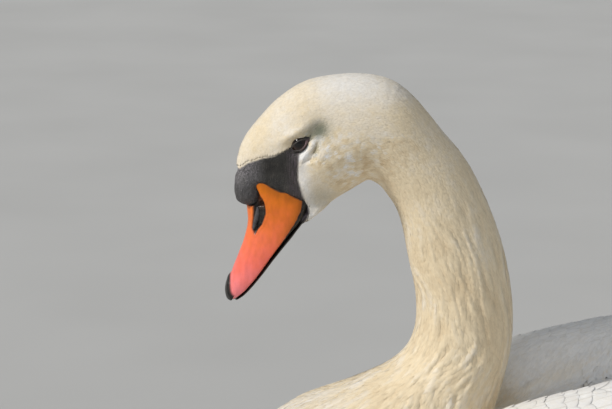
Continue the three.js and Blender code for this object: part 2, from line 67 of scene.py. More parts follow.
def edit(obj, tool, **settings):
    """Use an edit-mode tool on a whole piece."""
    pick(obj)
    bpy.ops.object.mode_set(mode="EDIT")
    bpy.ops.mesh.select_all(action="SELECT")
    tool(**settings)
    bpy.ops.object.mode_set(mode="OBJECT")


def modify(obj, kind, **settings):
    """Add a modifier, set it and apply it."""
    made = obj.modifiers.new(kind.lower(), kind)
    for key, value in settings.items():
        setattr(made, key, value)
    pick(obj)
    bpy.ops.object.modifier_apply(modifier=made.name)


def finished(piece, slot, *stands_for):
    """Shade a piece smoothly, and say what it rides on and replaces. The slot, what it is made of, is not
    used.
    """
    piece.data.polygons.foreach_set("use_smooth", np.ones(len(piece.data.polygons), bool))
    piece.data.update()
    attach(piece, "root")
    if stands_for:
        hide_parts(*stands_for)
    return piece


# %% Helpers for points and numbers
def read(items, key, width=1, kind=np.float32):
    flat = np.empty(len(items) * width, kind)
    items.foreach_get(key, flat)
    return flat.reshape(-1, width) if width > 1 else flat


def points_of(obj):
    return read(obj.data.vertices, "co", 3).astype(float)


def normals_of(obj):
    return read(obj.data.vertices, "normal", 3).astype(float)


def shape_of(obj):
    return points_of(obj), [list(face.vertices) for face in obj.data.polygons]


def set_points(obj, points):
    obj.data.vertices.foreach_set("co", points.astype(np.float32).ravel())
    obj.data.update()


def set_attribute(obj, name, values):
    layer = obj.data.attributes.new(name, "FLOAT", "POINT")
    layer.data.foreach_set("value", np.asarray(values, np.float32))


def mesh_piece(name, points, face_groups):
    mesh = bpy.data.meshes.new(name)
    corners = np.concatenate([group.ravel() for group in face_groups])
    sizes = np.concatenate([np.full(len(group), group.shape[1]) for group in face_groups])
    mesh.vertices.add(len(points))
    mesh.vertices.foreach_set("co", np.asarray(points, np.float32).ravel())
    mesh.loops.add(len(corners))
    mesh.loops.foreach_set("vertex_index", corners.astype(np.int32))
    mesh.polygons.add(len(sizes))
    mesh.polygons.foreach_set("loop_start", (np.cumsum(sizes) - sizes).astype(np.int32))
    mesh.update(calc_edges=True)
    mesh.validate()
    obj = bpy.data.objects.new(name, mesh)
    bpy.context.scene.collection.objects.link(obj)
    return obj


def step(low, high, value):
    t = np.clip((value - low) / (high - low), 0, 1)
    return t * t * (3 - 2 * t)


def unit(vectors):
    return vectors / np.maximum(np.linalg.norm(vectors, axis=-1, keepdims=True), 1e-12)


# %% [markdown]
# ## The spine that everything follows
# Feathers lie along the bird from the bill backwards. A line through the middle of head, neck and trunk
# tells each place on the skin how far back it is, which way the feathers there point, and its angle
# round the body. The same two numbers, distance back and angle, unwrap the skin into a flat map.
# %% The spine and what it tells a point
SPINE_YZ_MM = [
    (-372, 318), (-356, 346), (-341, 375), (-340, 386), (-336, 397), (-326, 408), (-314, 418), (-301, 426),
    (-288, 430), (-274, 431), (-262, 428), (-250, 420), (-239, 405), (-226, 387), (-217, 368), (-208, 346),
    (-201, 323), (-197, 299), (-197, 274), (-203, 250), (-216, 228), (-234, 208), (-252, 190), (-262, 172),
    (-264, 154), (-258, 138), (-244, 124), (-218, 114), (-176, 109), (-124, 110), (-64, 112), (0, 114),
    (66, 115), (132, 118), (188, 123), (236, 128), (284, 130), (340, 130), (386, 130),
]


def smooth_curve(knots, per_gap):
    knots = np.asarray(knots, float)
    ends = np.vstack([2 * knots[0] - knots[1], knots, 2 * knots[-1] - knots[-2]])
    pieces = []
    for a, b, c, d in zip(ends, ends[1:], ends[2:], ends[3:]):
        t = np.linspace(0, 1, per_gap, endpoint=False)[:, None]
        pieces.append(
            0.5 * (2 * b + (c - a) * t + (2 * a - 5 * b + 4 * c - d) * t**2 + (3 * b - a - 3 * c + d) * t**3)
        )
    return np.vstack(pieces + [knots[-1:]])


spine = smooth_curve(SPINE_YZ_MM, 8) * MM
spine_back = np.concatenate([[0], np.cumsum(np.linalg.norm(np.diff(spine, axis=0), axis=1))])
spine_way = unit(np.gradient(spine, axis=0))
SOFT_OVER_MM = ([0, 0.12, 0.22, 0.38, 0.6, 1.0, spine_back[-1]], [8, 12, 18, 16, 45, 60, 40])
spine_size = np.interp(spine_back, *SOFT_OVER_MM) * MM


def along_spine(points, batch=20000):
    """Distance back, angle round the body, and the way the feathers lie, for each point."""
    back, angle = np.empty(len(points)), np.empty(len(points))
    way = np.zeros((len(points), 3))
    for first in range(0, len(points), batch):
        part = slice(first, first + batch)
        gap = ((points[part, None, 1:] - spine[None]) ** 2).sum(2)
        near = gap.argmin(1)
        soft = np.exp(-(gap - gap.min(1)[:, None]) / (2 * spine_size[near][:, None] ** 2))
        soft /= soft.sum(1)[:, None]
        back[part] = soft @ spine_back
        way[part, 1:] = soft @ spine_way
        up = spine_way[near][:, ::-1] * [-1, 1]
        rise = ((points[part, 1:] - spine[near]) * up).sum(1)
        angle[part] = np.arctan2(points[part, 0], rise)
    return back, angle, unit(way)


print(f"spine {spine_back[-1]:.3f} m long, {len(spine)} samples")

# %% [markdown]
# ## One skin over the flesh
# The solids of the flesh are separate so that each can be named and weighed, with hairline cuts between
# them. Copies are fattened by a little more than the cuts and melted into one surface with a voxel
# remesh. Two lumps are melted in with them: the whole knob, and the feathered chin under the bill.
# %% Melt copies of the flesh into one skin
FLESH = ["head", "face_mask", "bill_knob", "neck_upper", "neck_middle", "neck_lower", "trunk", "wing_left",
         "wing_right"]
SOCKETS = ["eye_left", "eye_right"]
SKIN_VOXEL = 0.0045
CUT_CLOSER = 0.0004
LUMPS = [  # middle in mm, half sizes in mm, turn about the crosswise line in degrees, boxiness
    ((0, -364.8, 385.6), (14.8, 11.7, 16.2), -3, 2.3),  # the whole knob, where the solid is only its front
    ((0, -316.8, 366.2), (17.2, 22, 4.6), 37, 2.3),  # the feathered chin that runs forward under the bill
]


def melted(names, name, voxel, rounds, extra=()):
    """One soft surface over copies of these solids."""
    copies = list(extra)
    for node in names:
        copy = nodes[node].copy()
        copy.data = nodes[node].data.copy()
        copy.parent = None
        for key in list(copy.keys()):
            del copy[key]
        bpy.context.scene.collection.objects.link(copy)
        edit(copy, bpy.ops.mesh.remove_doubles, threshold=1e-6)
        set_points(copy, points_of(copy) + normals_of(copy) * CUT_CLOSER)
        copies.append(copy)
    pick(*copies)
    bpy.ops.object.join()
    made = bpy.context.object
    made.name = made.data.name = name
    made.data.materials.clear()
    modify(made, "REMESH", mode="VOXEL", voxel_size=voxel)
    modify(made, "SMOOTH", factor=0.5, iterations=rounds)
    return made


def lump(middle, halves, turn, boxiness):
    pick()
    bpy.ops.mesh.primitive_uv_sphere_add(segments=64, ring_count=40, radius=1)
    made = bpy.context.object
    ball = points_of(made)
    ball /= ((np.abs(ball) ** boxiness).sum(1) ** (1 / boxiness))[:, None]
    set_points(made, ball * halves * MM)
    made.rotation_euler = (math.radians(turn), 0, 0)
    made.location = Vector(middle) * MM
    bpy.ops.object.transform_apply(location=True, rotation=True, scale=True)
    return made


lumps = [lump(*row) for row in LUMPS]
lump_shapes = [shape_of(obj) for obj in lumps]
skin = melted(FLESH + SOCKETS, "skin", SKIN_VOXEL, 5, lumps)
print(f"skin: {len(skin.data.polygons)} faces")

# %% [markdown]
# ## Fit the head closely
# The melted skin is coarse. The head is cut four times finer, laid back on the solids' surface, and
# smoothed until their flat facets are gone.
# %% Cut the head finer
HEAD_TO = 0.215  # metres back along the spine, where the head ends

back, _, _ = along_spine(points_of(skin))
pick(skin)
bpy.ops.object.mode_set(mode="EDIT")
bpy.ops.mesh.select_all(action="DESELECT")
bpy.ops.object.mode_set(mode="OBJECT")
skin.data.vertices.foreach_set("select", back < HEAD_TO)
bpy.ops.object.mode_set(mode="EDIT")
bpy.ops.mesh.select_mode(type="VERT")
bpy.ops.mesh.subdivide(number_cuts=3)
edit(skin, bpy.ops.mesh.quads_convert_to_tris)
print(f"skin: {len(skin.data.polygons)} faces")


# %% Lay it on the solids
def neighbours_of(obj):
    ends = read(obj.data.edges, "vertices", 2, np.int32)
    return np.concatenate([ends[:, 0], ends[:, 1]]), np.concatenate([ends[:, 1], ends[:, 0]])


def smoothed(values, links, rounds, share=1.0):
    """Values drawn halfway to their neighbours' mean, some rounds over, times a share for each point."""
    here, there = links
    count = np.bincount(here, minlength=len(values)).clip(1)
    share = np.broadcast_to(share, len(values))[:, None] * 0.5
    for _ in range(rounds):
        total = [np.bincount(here, weights=part[there], minlength=len(values)) for part in values.T]
        values = values + (np.stack(total, 1) / count[:, None] - values) * share
    return values


def joined(shapes):
    """The points and faces of several shapes, as one shape."""
    points, faces = [], []
    for place, polygons in shapes:
        offset = sum(len(p) for p in points)
        points.append(place)
        faces += [[v + offset for v in face] for face in polygons]
    return np.vstack(points), faces


def tree_of(points, faces):
    return BVHTree.FromPolygons(points.tolist(), faces)


def nearest_on(tree, points):
    return np.array([tree.find_nearest(p)[0] for p in points.tolist()])


HEAD_SOLIDS = ["head", "face_mask", "bill_knob", "neck_upper"]
HEAD_FADE = 0.02  # metres over which the head's fit fades into the neck
CROWN_BACK, CROWN_Z = 0.11, 0.400  # behind or above these the skin is plain
ROOM_PLAIN, ROOM_FACE = 0.007, 0.0024  # points further off than this bridge a fold, and stay
fitted = points_of(skin)
back, _, _ = along_spine(fitted)
head_share = 1 - step(HEAD_TO - HEAD_FADE, HEAD_TO, back)
moving = head_share > 0
head_tree = tree_of(*joined([shape_of(nodes[n]) for n in HEAD_SOLIDS] + lump_shapes))
way_off = nearest_on(head_tree, fitted[moving]) - fitted[moving]
plain = (back[moving] > CROWN_BACK) | (fitted[moving, 2] > CROWN_Z)
room = np.where(plain, ROOM_PLAIN, ROOM_FACE)
pull = (head_share[moving] * (np.linalg.norm(way_off, axis=1) <= room))[:, None]
fitted[moving] += way_off * pull
links = neighbours_of(skin)
fitted = smoothed(fitted, links, 12, head_share)
fitted[moving] += (nearest_on(head_tree, fitted[moving]) - fitted[moving]) * pull * 0.85
fitted = smoothed(fitted, links, 3, head_share)
set_points(skin, fitted)
print(f"{moving.sum()} points in the head")

# %% [markdown]
# ## Small forms of the face
# The face isn't a plain egg. There is a shallow socket round the eye with a puffed band of feathers
# behind it, a crease behind that, a hollow above, and a full cheek. Each is a soft oval push outwards or
# inwards, given by its place on the side of the head. The skin then sinks by the depth of the coat, which
# grows from a millimetre on the face to five on the body, so that feather tips end where the solids do.
# %% Push the face into shape
FACE_FORMS = [  # back-and-up place in mm, sizes along and across, turn in degrees, push in mm
    ((-325, 422), (10, 7.5), 36, -1.9),  # socket
    ((-331, 430.5), (13, 3.6), 34, 2.2),  # brow
    ((-319, 418), (7.5, 2.3), 52, 2.0),  # puffed band behind the eye
    ((-324, 409.5), (5, 2.4), 78, 1.0),  # the band where it turns down along the bare skin
    ((-313.2, 420.5), (6.5, 1.7), 66, -2.6),  # crease behind the band
    ((-317.6, 411.8), (4.5, 1.6), 22, -1.9),  # front end of the crease
    ((-308, 415), (8, 4), 55, 0.9),  # swelling behind the crease
    ((-312, 434), (9, 6.5), 40, -2.6),  # hollow above and behind the eye
    ((-300, 402), (18, 15), 0, 1.1),  # cheek
    ((-342, 401), (12, 9), 20, -1.2),  # flat of the bare skin
    ((-347, 428), (16, 12), 40, 0.8),  # side of the forehead
    ((-319.5, 373), (5, 2.0), 60, -0.8),  # corner of the mouth
]


def turned_axes(points, centre_mm, turn):
    """Places on the side view in mm from a centre, along and across a turned line."""
    c, s = math.cos(turn), math.sin(turn)
    dy, dz = points[:, 1] / MM - centre_mm[0], points[:, 2] / MM - centre_mm[1]
    return dy * c + dz * s, dz * c - dy * s


def face_push(points):
    total = np.zeros(len(points))
    for centre, (long, wide), turn, push in FACE_FORMS:
        along, across = turned_axes(points, centre, math.radians(turn))
        total += push * np.exp(-((along / long) ** 2) - (across / wide) ** 2)
    return total * MM * np.clip(np.abs(points[:, 0]) / 0.014, 0, 1)


skin_points = points_of(skin)
skin_points[:, 0] += np.sign(skin_points[:, 0]) * face_push(skin_points)
set_points(skin, skin_points)
print(f"{len(FACE_FORMS)} forms pushed into the face")

# %% Sink the skin under its coat
COAT_DEPTH = ([0.07, 0.12, 0.17, 0.23, 0.33, 0.42, 0.52, 1.2], [0.8, 1.1, 1.5, 2.0, 2.6, 3.6, 5.0, 5.5])
BARE_DEPTH_MM, SKIN_OFF_FLOOR = 0.55, 0.0015
FACE_TO = 0.16  # metres back along the spine, where the face ends
MASK_YZ_MM = [
    (-395, 398.5), (-378, 399.5), (-371.5, 401), (-364.7, 406.5), (-354, 411), (-344, 413.5), (-335, 419),
    (-329, 421), (-325.2, 418), (-325.6, 412.5), (-326.2, 404), (-326.2, 395.5), (-323.9, 387), (-321.5, 379),
    (-319.2, 373), (-317.2, 367), (-319.5, 361), (-322.5, 356), (-326, 350), (-400, 335),
]


def outside_of(outline_mm, points):
    """Distance in mm from an outline drawn on the side view: positive outside it, negative inside."""
    corners = np.asarray(outline_mm, float)
    place = points[:, 1:] / MM
    best = np.full(len(place), 1e9)
    within = np.zeros(len(place), bool)
    for a, b in zip(corners, np.roll(corners, -1, 0)):
        edge, rel = b - a, place - a
        t = np.clip((rel @ edge) / (edge @ edge), 0, 1)
        best = np.minimum(best, np.linalg.norm(rel - t[:, None] * edge, axis=1))
        crosses = (a[1] > place[:, 1]) != (b[1] > place[:, 1])
        with np.errstate(divide="ignore", invalid="ignore"):
            cut = a[0] + (place[:, 1] - a[1]) * edge[0] / edge[1]
        within ^= crosses & (place[:, 0] < cut)
    return np.where(within, -best, best)


skin_back, skin_angle, _ = along_spine(skin_points)
outer_normals = normals_of(skin)
bare = step(0.6, -1.0, outside_of(MASK_YZ_MM, skin_points)) * (skin_back < FACE_TO)
depth = np.maximum(np.interp(skin_back, *COAT_DEPTH) * (1 - bare), BARE_DEPTH_MM) * MM
depth = smoothed(depth[:, None], links, 6)[:, 0]
sunk = skin_points - outer_normals * depth[:, None]
sunk[:, 2] = np.maximum(sunk[:, 2], SKIN_OFF_FLOOR)
set_points(skin, sunk)
set_attribute(skin, "bare", bare)
print(f"coat from {depth.min() / MM:.1f} to {depth.max() / MM:.1f} mm deep")

# %% [markdown]
# ## A flat map of the skin
# The skin is unrolled: the angle round the body runs across the map and the distance back runs up it.
# The map is called OFBake. Each feather later gets a tiny patch at the place of its root on this same map.
# Faces that straddle the belly's middle line are kept whole.
# %% Unroll the skin
def on_map(back, angle):
    return np.stack([0.5 + 0.47 * angle / math.pi, 0.02 + 0.94 * back / spine_back[-1]], 1)


def add_map(obj, name, place):
    obj.data.uv_layers.new(name=name).data.foreach_set("uv", place.astype(np.float32).ravel())


def corners_of(obj):
    """The point at each corner of each face, and that corner's face."""
    sizes = read(obj.data.polygons, "loop_total", 1, np.int32)
    return read(obj.data.loops, "vertex_index", 1, np.int32), np.repeat(np.arange(len(sizes)), sizes)


corner, face = corners_of(skin)
place = on_map(skin_back, skin_angle)[corner]
widest = np.maximum.reduceat(place[:, 0], read(skin.data.polygons, "loop_start", 1, np.int32))
place[:, 0] += np.where(widest[face] - place[:, 0] > 0.5, 0.94, 0)
add_map(skin, "OFBake", np.clip(place, 0, 1))
finished(skin, "plumage_white", *FLESH)
print("skin unrolled")

# %% [markdown]
# ## The bill
# A swan's bill is horn over bone: a deep, narrow base, a broad flattened end, a sunk nostril on each side,
# a black cutting edge and a hard black nail at the tip. Its rings are drawn through the same places as
# the solid's, but many more of them, so the nostril, the edge's groove and the nail can be pressed in.
# %% Rings of the bill and the surface through them
UPPER_ROWS = [  # y, z below; y, z on top; half width; height of the widest place; squareness above, below
    (-311, 384, -360, 402, 17.4, 0.32, 2.4, 2.4),
    (-317, 372, -364.3, 390.5, 17.7, 0.25, 2.5, 2.6),
    (-320.5, 364.5, -366, 380, 17.6, 0.18, 2.4, 2.8),
    (-325.5, 358, -365.6, 370, 17.1, 0.12, 2.3, 3),
    (-333, 349, -365, 357.5, 16.4, 0.1, 2.1, 3),
    (-341, 338.5, -367.5, 345.5, 15.8, 0.1, 2.1, 3),
    (-348.5, 328.5, -371.5, 334.5, 15.2, 0.12, 2.1, 3),
    (-356, 318, -375.8, 323.5, 14.7, 0.14, 2.2, 3),
    (-363, 309, -379.6, 313.5, 13.8, 0.18, 2.3, 3),
    (-369, 302, -381.8, 305, 11.6, 0.25, 2.3, 3),
    (-374, 297.3, -381, 298.6, 7.4, 0.3, 2.2, 2.6),
    (-377, 295.4, -379, 295.8, 2.2, 0.4, 2, 2),
]
LOWER_ROWS = [
    (-316.2, 366.4, -318.5, 368.6, 13.6, 0.6, 2.6, 2.2),
    (-323.6, 356.7, -325.2, 358.7, 14.4, 0.6, 2.6, 2.2),
    (-330.8, 346.8, -332.8, 348.8, 14.4, 0.6, 2.6, 2.2),
    (-338.9, 336.6, -340.8, 338.3, 14, 0.6, 2.6, 2.2),
    (-346.5, 326.6, -348.3, 328.3, 13.4, 0.6, 2.6, 2.2),
    (-354.2, 316.2, -355.8, 317.8, 12.8, 0.6, 2.6, 2.2),
    (-361.4, 307.2, -362.9, 308.7, 11.8, 0.6, 2.6, 2.2),
    (-367.6, 300.4, -368.9, 301.7, 9.6, 0.6, 2.6, 2.2),
    (-372.6, 296.2, -373.6, 297.2, 5.6, 0.6, 2.6, 2.2),
    (-374.4, 294.9, -375.0, 295.5, 1.5, 0.6, 2.6, 2.2),
]


def grid_faces(rows, around):
    """Faces between rings of points."""
    r, c = np.meshgrid(np.arange(rows - 1), np.arange(around), indexing="ij")
    here, right = r * around + c, r * around + (c + 1) % around
    return np.stack([here, right, right + around, here + around], -1).reshape(-1, 4)


def tube(name, rings):
    """A closed tube through rings of points in mm, with a fan of faces at each end."""
    count, around = rings.shape[:2]
    end, k = count * around, np.arange(around)
    right = (k + 1) % around
    fans = [np.stack([right, k, 0 * k + end], 1),
            np.stack([end - around + k, end - around + right, 0 * k + end + 1], 1)]
    points = np.vstack([rings.reshape(-1, 3), rings[0].mean(0), rings[-1].mean(0)]) * MM
    made = mesh_piece(name, points, [grid_faces(count, around), np.concatenate(fans)])
    edit(made, bpy.ops.mesh.normals_make_consistent, inside=False)
    return made


def superellipses(rows, per_gap, around):
    """Rings in mm, each squared off by its own powers above and below its widest place."""
    rings = smooth_curve(rows, per_gap)
    low, high, half, middle = rings[:, 0:2], rings[:, 2:4], rings[:, 4:5], rings[:, 5:6]
    angle = -math.pi / 2 + 2 * math.pi * np.arange(around) / around
    cos, sin = np.cos(angle), np.sin(angle)
    power = np.where(sin > 0, 2 / rings[:, 6:7], 2 / rings[:, 7:8])
    across = half * np.sign(cos) * np.abs(cos) ** power
    rise = np.sign(sin) * np.abs(sin) ** power
    share = np.where(rise > 0, middle + rise * (1 - middle), middle + rise * middle)
    return np.concatenate([across[..., None], low[:, None] + (high - low)[:, None] * share[..., None]], 2)


bill_upper = tube("bill_upper_horn", superellipses(UPPER_ROWS, 18, 184))
print(f"upper bill: {len(bill_upper.data.polygons)} faces")

# %% [markdown]
# Noise gives living surfaces their small unevenness. This one mixes random values at the corners of a
# grid of cells, so it is smooth, has a known size, and is the same on every run.
# %% A repeatable noise in space
def grain(points, cell, seed=0):
    place = np.asarray(points) / cell + 50.0
    base = np.floor(place).astype(np.int64)
    part = place - base
    part = part * part * (3 - 2 * part)
    total = np.zeros(len(place))
    for corner in range(8):
        offset = np.array([corner & 1, corner >> 1 & 1, corner >> 2 & 1])
        x, y, z = (base + offset).T
        mixed = (x * 374761393 + y * 668265263 + z * 2147483647 + seed * 144665) & 0xFFFFFFFF
        mixed = ((mixed ^ (mixed >> 13)) * 1274126177) & 0xFFFFFFFF
        value = ((mixed ^ (mixed >> 16)) & 0xFFFF) / 32767.5 - 1
        total += value * np.prod(np.where(offset, part, 1 - part), axis=1)
    return total


# %% [markdown]
# On the upper bill the nostril is pressed in as a pointed oval with a glossy flap inside it, the cutting
# edge is set back behind a fine groove, and the nail stands a little proud. The same outlines colour the
# horn: orange on the sides, black round the nostril, along the edge and on the nail.
# %% Outlines on the upper bill
NOSTRIL_YZ_MM = [
    (-360.8, 372.5), (-357, 376), (-352.4, 376.5), (-350.8, 370.5), (-350.8, 366.6), (-352.4, 361.8),
    (-353.9, 357.9), (-357, 353.9), (-359.3, 349.6), (-361.4, 354.7), (-360.8, 361), (-360.3, 367.4),
]
BLACK_SADDLE_YZ_MM = [
    (-395, 371.5), (-361, 371.8), (-352, 372), (-350.8, 371), (-352.4, 377.6), (-354.7, 380.5),
    (-356.2, 384), (-358.5, 388), (-361, 390.4), (-363, 393), (-395, 402),
]
HORN_TOP_YZ_MM = [
    (-420, 392), (-361, 391.6), (-352, 390.3), (-341, 384.6), (-334, 383.2), (-330, 380.6), (-322.8, 377.6),
    (-324.2, 369), (-329, 359.6), (-335, 350), (-341.2, 340.3), (-347.6, 330.6), (-353, 321.3),
    (-359.8, 311.6), (-367, 304), (-373.5, 299), (-378, 296), (-420, 290),
]
NAIL_MIDDLE_Z_MM, NAIL_HALF_HEIGHT_MM, NAIL_HALF_WIDTH_MM = 301.5, 15.5, 10.2

# %% Upper bill
flat, outward = points_of(bill_upper), normals_of(bill_upper)
x_mm, y_mm, z_mm = flat.T / MM
nostril, edge = outside_of(NOSTRIL_YZ_MM, flat), outside_of(HORN_TOP_YZ_MM, flat)
saddle = outside_of(BLACK_SADDLE_YZ_MM, flat)
on_top, below = outward[:, 1] < -0.25, z_mm < 378
nail = (x_mm / NAIL_HALF_WIDTH_MM) ** 2 + ((z_mm - NAIL_MIDDLE_Z_MM) / NAIL_HALF_HEIGHT_MM) ** 2
push = -4.6 * step(0.6, -3.2, saddle) - 2.6 * step(0.3, -2.1, nostril)
push += 0.32 * np.exp(-(((nostril - 0.9) / 0.8) ** 2))
push += (1.3 * step(1.15, 0.55, nail) - 0.2 * np.exp(-(((nail - 1.2) / 0.2) ** 2))) * on_top
push += (0.15 * step(0.8, 2.5, edge) - 0.35 * np.exp(-((edge / 0.7) ** 2))) * below
push += 0.10 * grain(flat, 0.006, 3) + 0.05 * grain(flat, 0.0022, 4)
set_points(bill_upper, flat + outward * push[:, None] * MM)
jitter = 0.3 * grain(flat, 0.003, 5)
brown_glow = np.exp(-(((y_mm + 354.5) / 3.5) ** 2) - ((z_mm - 379) / 5) ** 2)
black = [step(0.8, -0.5, nostril + 0.3 * jitter), step(0.7, -0.5, saddle + jitter),
         step(-0.35, 0.45, edge + jitter), step(1.15, 0.85, nail) * on_top]
set_attribute(bill_upper, "black", np.maximum.reduce(black) * (1 - 0.3 * brown_glow))
# Painted shade: the orange is darker near the rear and lower edges of the horn, towards the gape.
set_attribute(bill_upper, "painted_edge_shade", step(-9, -0.5, edge) * step(330, 372, z_mm))
finished(bill_upper, "orange_bill", "bill_upper", "bill_nail")
print(f"upper bill pushed in by up to {-push.min():.1f} mm")

# %% [markdown]
# Inside each nostril a smooth, wet-looking flap stands just behind the opening. It is a rounded bean,
# bent to the side of the bill and sunk into the black skin there. The lower bill shuts inside the upper
# one and shows only as a thin dark rim.
# %% Nostril flaps
horn_tree = tree_of(*shape_of(bill_upper))
FLAP_LINE_YZ_MM = [(-357.2, 371.5), (-357.0, 368), (-357.6, 364), (-358.6, 360), (-359.8, 356), (-360.6, 353)]
FLAP_HALF_MM = [0.5, 1.7, 2.0, 1.8, 1.3, 0.4]


def nostril_flap(side, around=20):
    line = smooth_curve(FLAP_LINE_YZ_MM, 6)
    share = np.linspace(0, len(FLAP_HALF_MM) - 1, len(line))
    half = np.interp(share, range(len(FLAP_HALF_MM)), FLAP_HALF_MM)[:, None]
    over = unit(np.gradient(line, axis=0))[:, ::-1] * [-1, 1]
    floor_x = [horn_tree.ray_cast((side * 0.1, y * MM, z * MM), (-side, 0, 0))[0].x / MM for y, z in line]
    floor_x = np.convolve(np.pad(floor_x, 4, mode="edge"), np.ones(9) / 9, "valid")[:, None]
    angle = 2 * math.pi * np.arange(around) / around
    rings = np.empty((len(line), around, 3))
    rings[..., 0] = floor_x + side * (0.2 + 0.75 * half * np.sin(angle))
    rings[..., 1:] = line[:, None] + over[:, None] * (half * np.cos(angle))[..., None]
    return finished(tube(f"nostril_flap_{SIDES[side]}", rings), "black_skin")


flaps = [nostril_flap(side) for side in SIDES]
print(f"nostril flaps: {[len(o.data.polygons) for o in flaps]} faces")

# %% Lower bill
bill_lower = tube("bill_lower_horn", superellipses(LOWER_ROWS, 8, 64))
flat = points_of(bill_lower)
set_points(bill_lower, flat + normals_of(bill_lower) * (grain(flat, 0.004, 8) * 0.00008)[:, None])
finished(bill_lower, "black_skin", "bill_lower")
print(f"lower bill: {len(bill_lower.data.polygons)} faces")

# %% [markdown]
# ## Eyes and lids
# The eye is a wet dark ball, set well into its socket. Only an oval of it shows, longer than it is high
# and tilted up at the back, because a rim of bare lid closes over its edge. The rim rises off the ball,
# rolls over and sinks into the skin.
# %% Eyes
EYE_CENTRE = np.array([0.0202, -0.3235, 0.4235])
EYE_RADIUS = 0.0084
EYE_GAZE = unit(np.array([0.93, -0.3, 0.12]))


def eye(side):
    pick()
    bpy.ops.mesh.primitive_uv_sphere_add(segments=48, ring_count=32, radius=EYE_RADIUS, location=(0, 0, 0))
    ball = bpy.context.object
    ball.name = ball.data.name = f"eye_{SIDES[side]}_ball"
    gaze = Vector(EYE_GAZE * [side, 1, 1])
    turned = np.array([gaze.to_track_quat("Z", "Y") @ Vector(p) for p in points_of(ball)])
    off_axis = np.degrees(np.arccos(np.clip(unit(turned) @ np.array(gaze), -1, 1)))
    bulge = 1 + 0.05 * np.exp(-((off_axis / 32) ** 2))
    set_points(ball, turned * bulge[:, None] + EYE_CENTRE * [side, 1, 1])
    set_attribute(ball, "off_axis", off_axis)
    return finished(ball, "eye_brown", f"eye_{SIDES[side]}")


eyes = [eye(side) for side in SIDES]
print(f"eyes {EYE_RADIUS * 2000:.1f} mm across")

# %% Lids
OPENING_MM = (6.8, 3.2)  # half length and half height of the oval
OPENING_TURN = math.radians(38)
OPENING_CENTRE_MM = (-325.2, 422.6)
LID_ROWS = [  # size against the opening, how far from the ball to the skin, lift in mm, depth of its folds
    (0.9, 0, -1.2, 0), (0.95, 0, 0.1, 0), (1.0, 0.05, 0.55, 0), (1.08, 0.2, 0.7, 0.12),
    (1.18, 0.5, 0.55, 0.12), (1.3, 0.8, 0.3, 0.12), (1.42, 1, -0.1, 0), (1.55, 1, -0.9, 0),
]
skin_tree = tree_of(*shape_of(skin))


def lid(side, around=72):
    theta = 2 * math.pi * np.arange(around) / around
    along = OPENING_MM[0] * np.cos(theta) * MM
    over = OPENING_MM[1] * np.sin(theta) * np.abs(np.sin(theta)) ** 0.5 * MM
    c, s = math.cos(OPENING_TURN), math.sin(OPENING_TURN)
    rows = []
    for scale, to_skin, lift, fold in LID_ROWS:
        y = OPENING_CENTRE_MM[0] * MM + (along * c - over * s) * scale
        z = OPENING_CENTRE_MM[1] * MM + (along * s + over * c) * scale
        gap = (y - EYE_CENTRE[1]) ** 2 + (z - EYE_CENTRE[2]) ** 2
        on_ball = EYE_CENTRE[0] + np.sqrt(np.maximum(EYE_RADIUS**2 - gap, 1e-6))
        on_skin = np.array([skin_tree.ray_cast((0.1, a, b), (-1, 0, 0))[0].x for a, b in zip(y, z)])
        raised = lift * (1 + fold * np.sin(5 * theta + 1.2)) * MM
        rows.append(np.stack([(on_ball * (1 - to_skin) + on_skin * to_skin + raised) * side, y, z], 1))
    piece = mesh_piece(f"eyelid_{SIDES[side]}", np.vstack(rows), [grid_faces(len(rows), around)])
    modify(piece, "SOLIDIFY", thickness=0.0004, offset=-side)
    modify(piece, "SUBSURF", levels=1, render_levels=1)
    edit(piece, bpy.ops.mesh.normals_make_consistent, inside=False)
    along, over = turned_axes(points_of(piece), OPENING_CENTRE_MM, OPENING_TURN)
    inner = step(1.45, 1.05, np.hypot(along / OPENING_MM[0], over / OPENING_MM[1]))
    set_attribute(piece, "rim", step(0.3, -0.5, over / OPENING_MM[1]) * inner)
    return finished(piece, "black_skin")


lids = [lid(side) for side in SIDES]
print(f"{[len(o.data.polygons) for o in lids]} faces in the lids")

# %% [markdown]
# ## Legs and feet
# Black, leathery and scaled. The solid leg and foot of each side are melted into one smooth piece, then
# rows of scales on the toes, and a fine unevenness all over, are pressed into it.
# %% Legs and feet
def foot(side):
    parts = [f"leg_{SIDES[side]}", f"foot_{SIDES[side]}"]
    piece = melted(parts, f"leg_and_foot_{SIDES[side]}", 0.0013, 4)
    place = points_of(piece)
    toes = step(0.000, -0.02, place[:, 1]) * (place[:, 2] > 0.0035)
    scutes = np.sin(np.linalg.norm(place - [0.108 * side, -0.008, 0], axis=1) / 0.0011)
    push = 0.16 * scutes * toes + 0.14 * grain(place, 0.003, 11) + 0.1 * grain(place, 0.0013, 12)
    place += normals_of(piece) * push[:, None] * MM
    place[:, 2] = np.maximum(place[:, 2], 0.0)
    set_points(piece, place)
    return finished(piece, "leg_black", *parts)


feet = [foot(side) for side in SIDES]
print(f"feet: {[len(o.data.polygons) for o in feet]} faces")

# %% [markdown]
# ## How feathers are laid
# Every feather starts on the skin, runs along the lie for its length, and ends where the solid's surface
# is. To follow the body round its curves it is walked over that surface in short steps. The surface here
# is the skin before it sank, with the tail and the wing tips added, and it knows how deep the coat is.
# %% The surface that feather tips reach
TIP_SOLIDS = ["tail", "wing_left_flight", "wing_right_flight"]
TIP_DEPTH = 0.005
tips = [nodes[name] for name in TIP_SOLIDS]
cover_points, cover_faces = joined([(skin_points, shape_of(skin)[1])] + [shape_of(tip) for tip in tips])
cover_tree = tree_of(cover_points, cover_faces)
cover_normals = np.vstack([outer_normals] + [normals_of(tip) for tip in tips])
cover_depth = np.append(depth, np.full(len(cover_points) - len(depth), TIP_DEPTH))
face_normals = unit(np.array([cover_normals[f].mean(0) for f in cover_faces]))
face_depths = np.array([cover_depth[f].mean() for f in cover_faces])


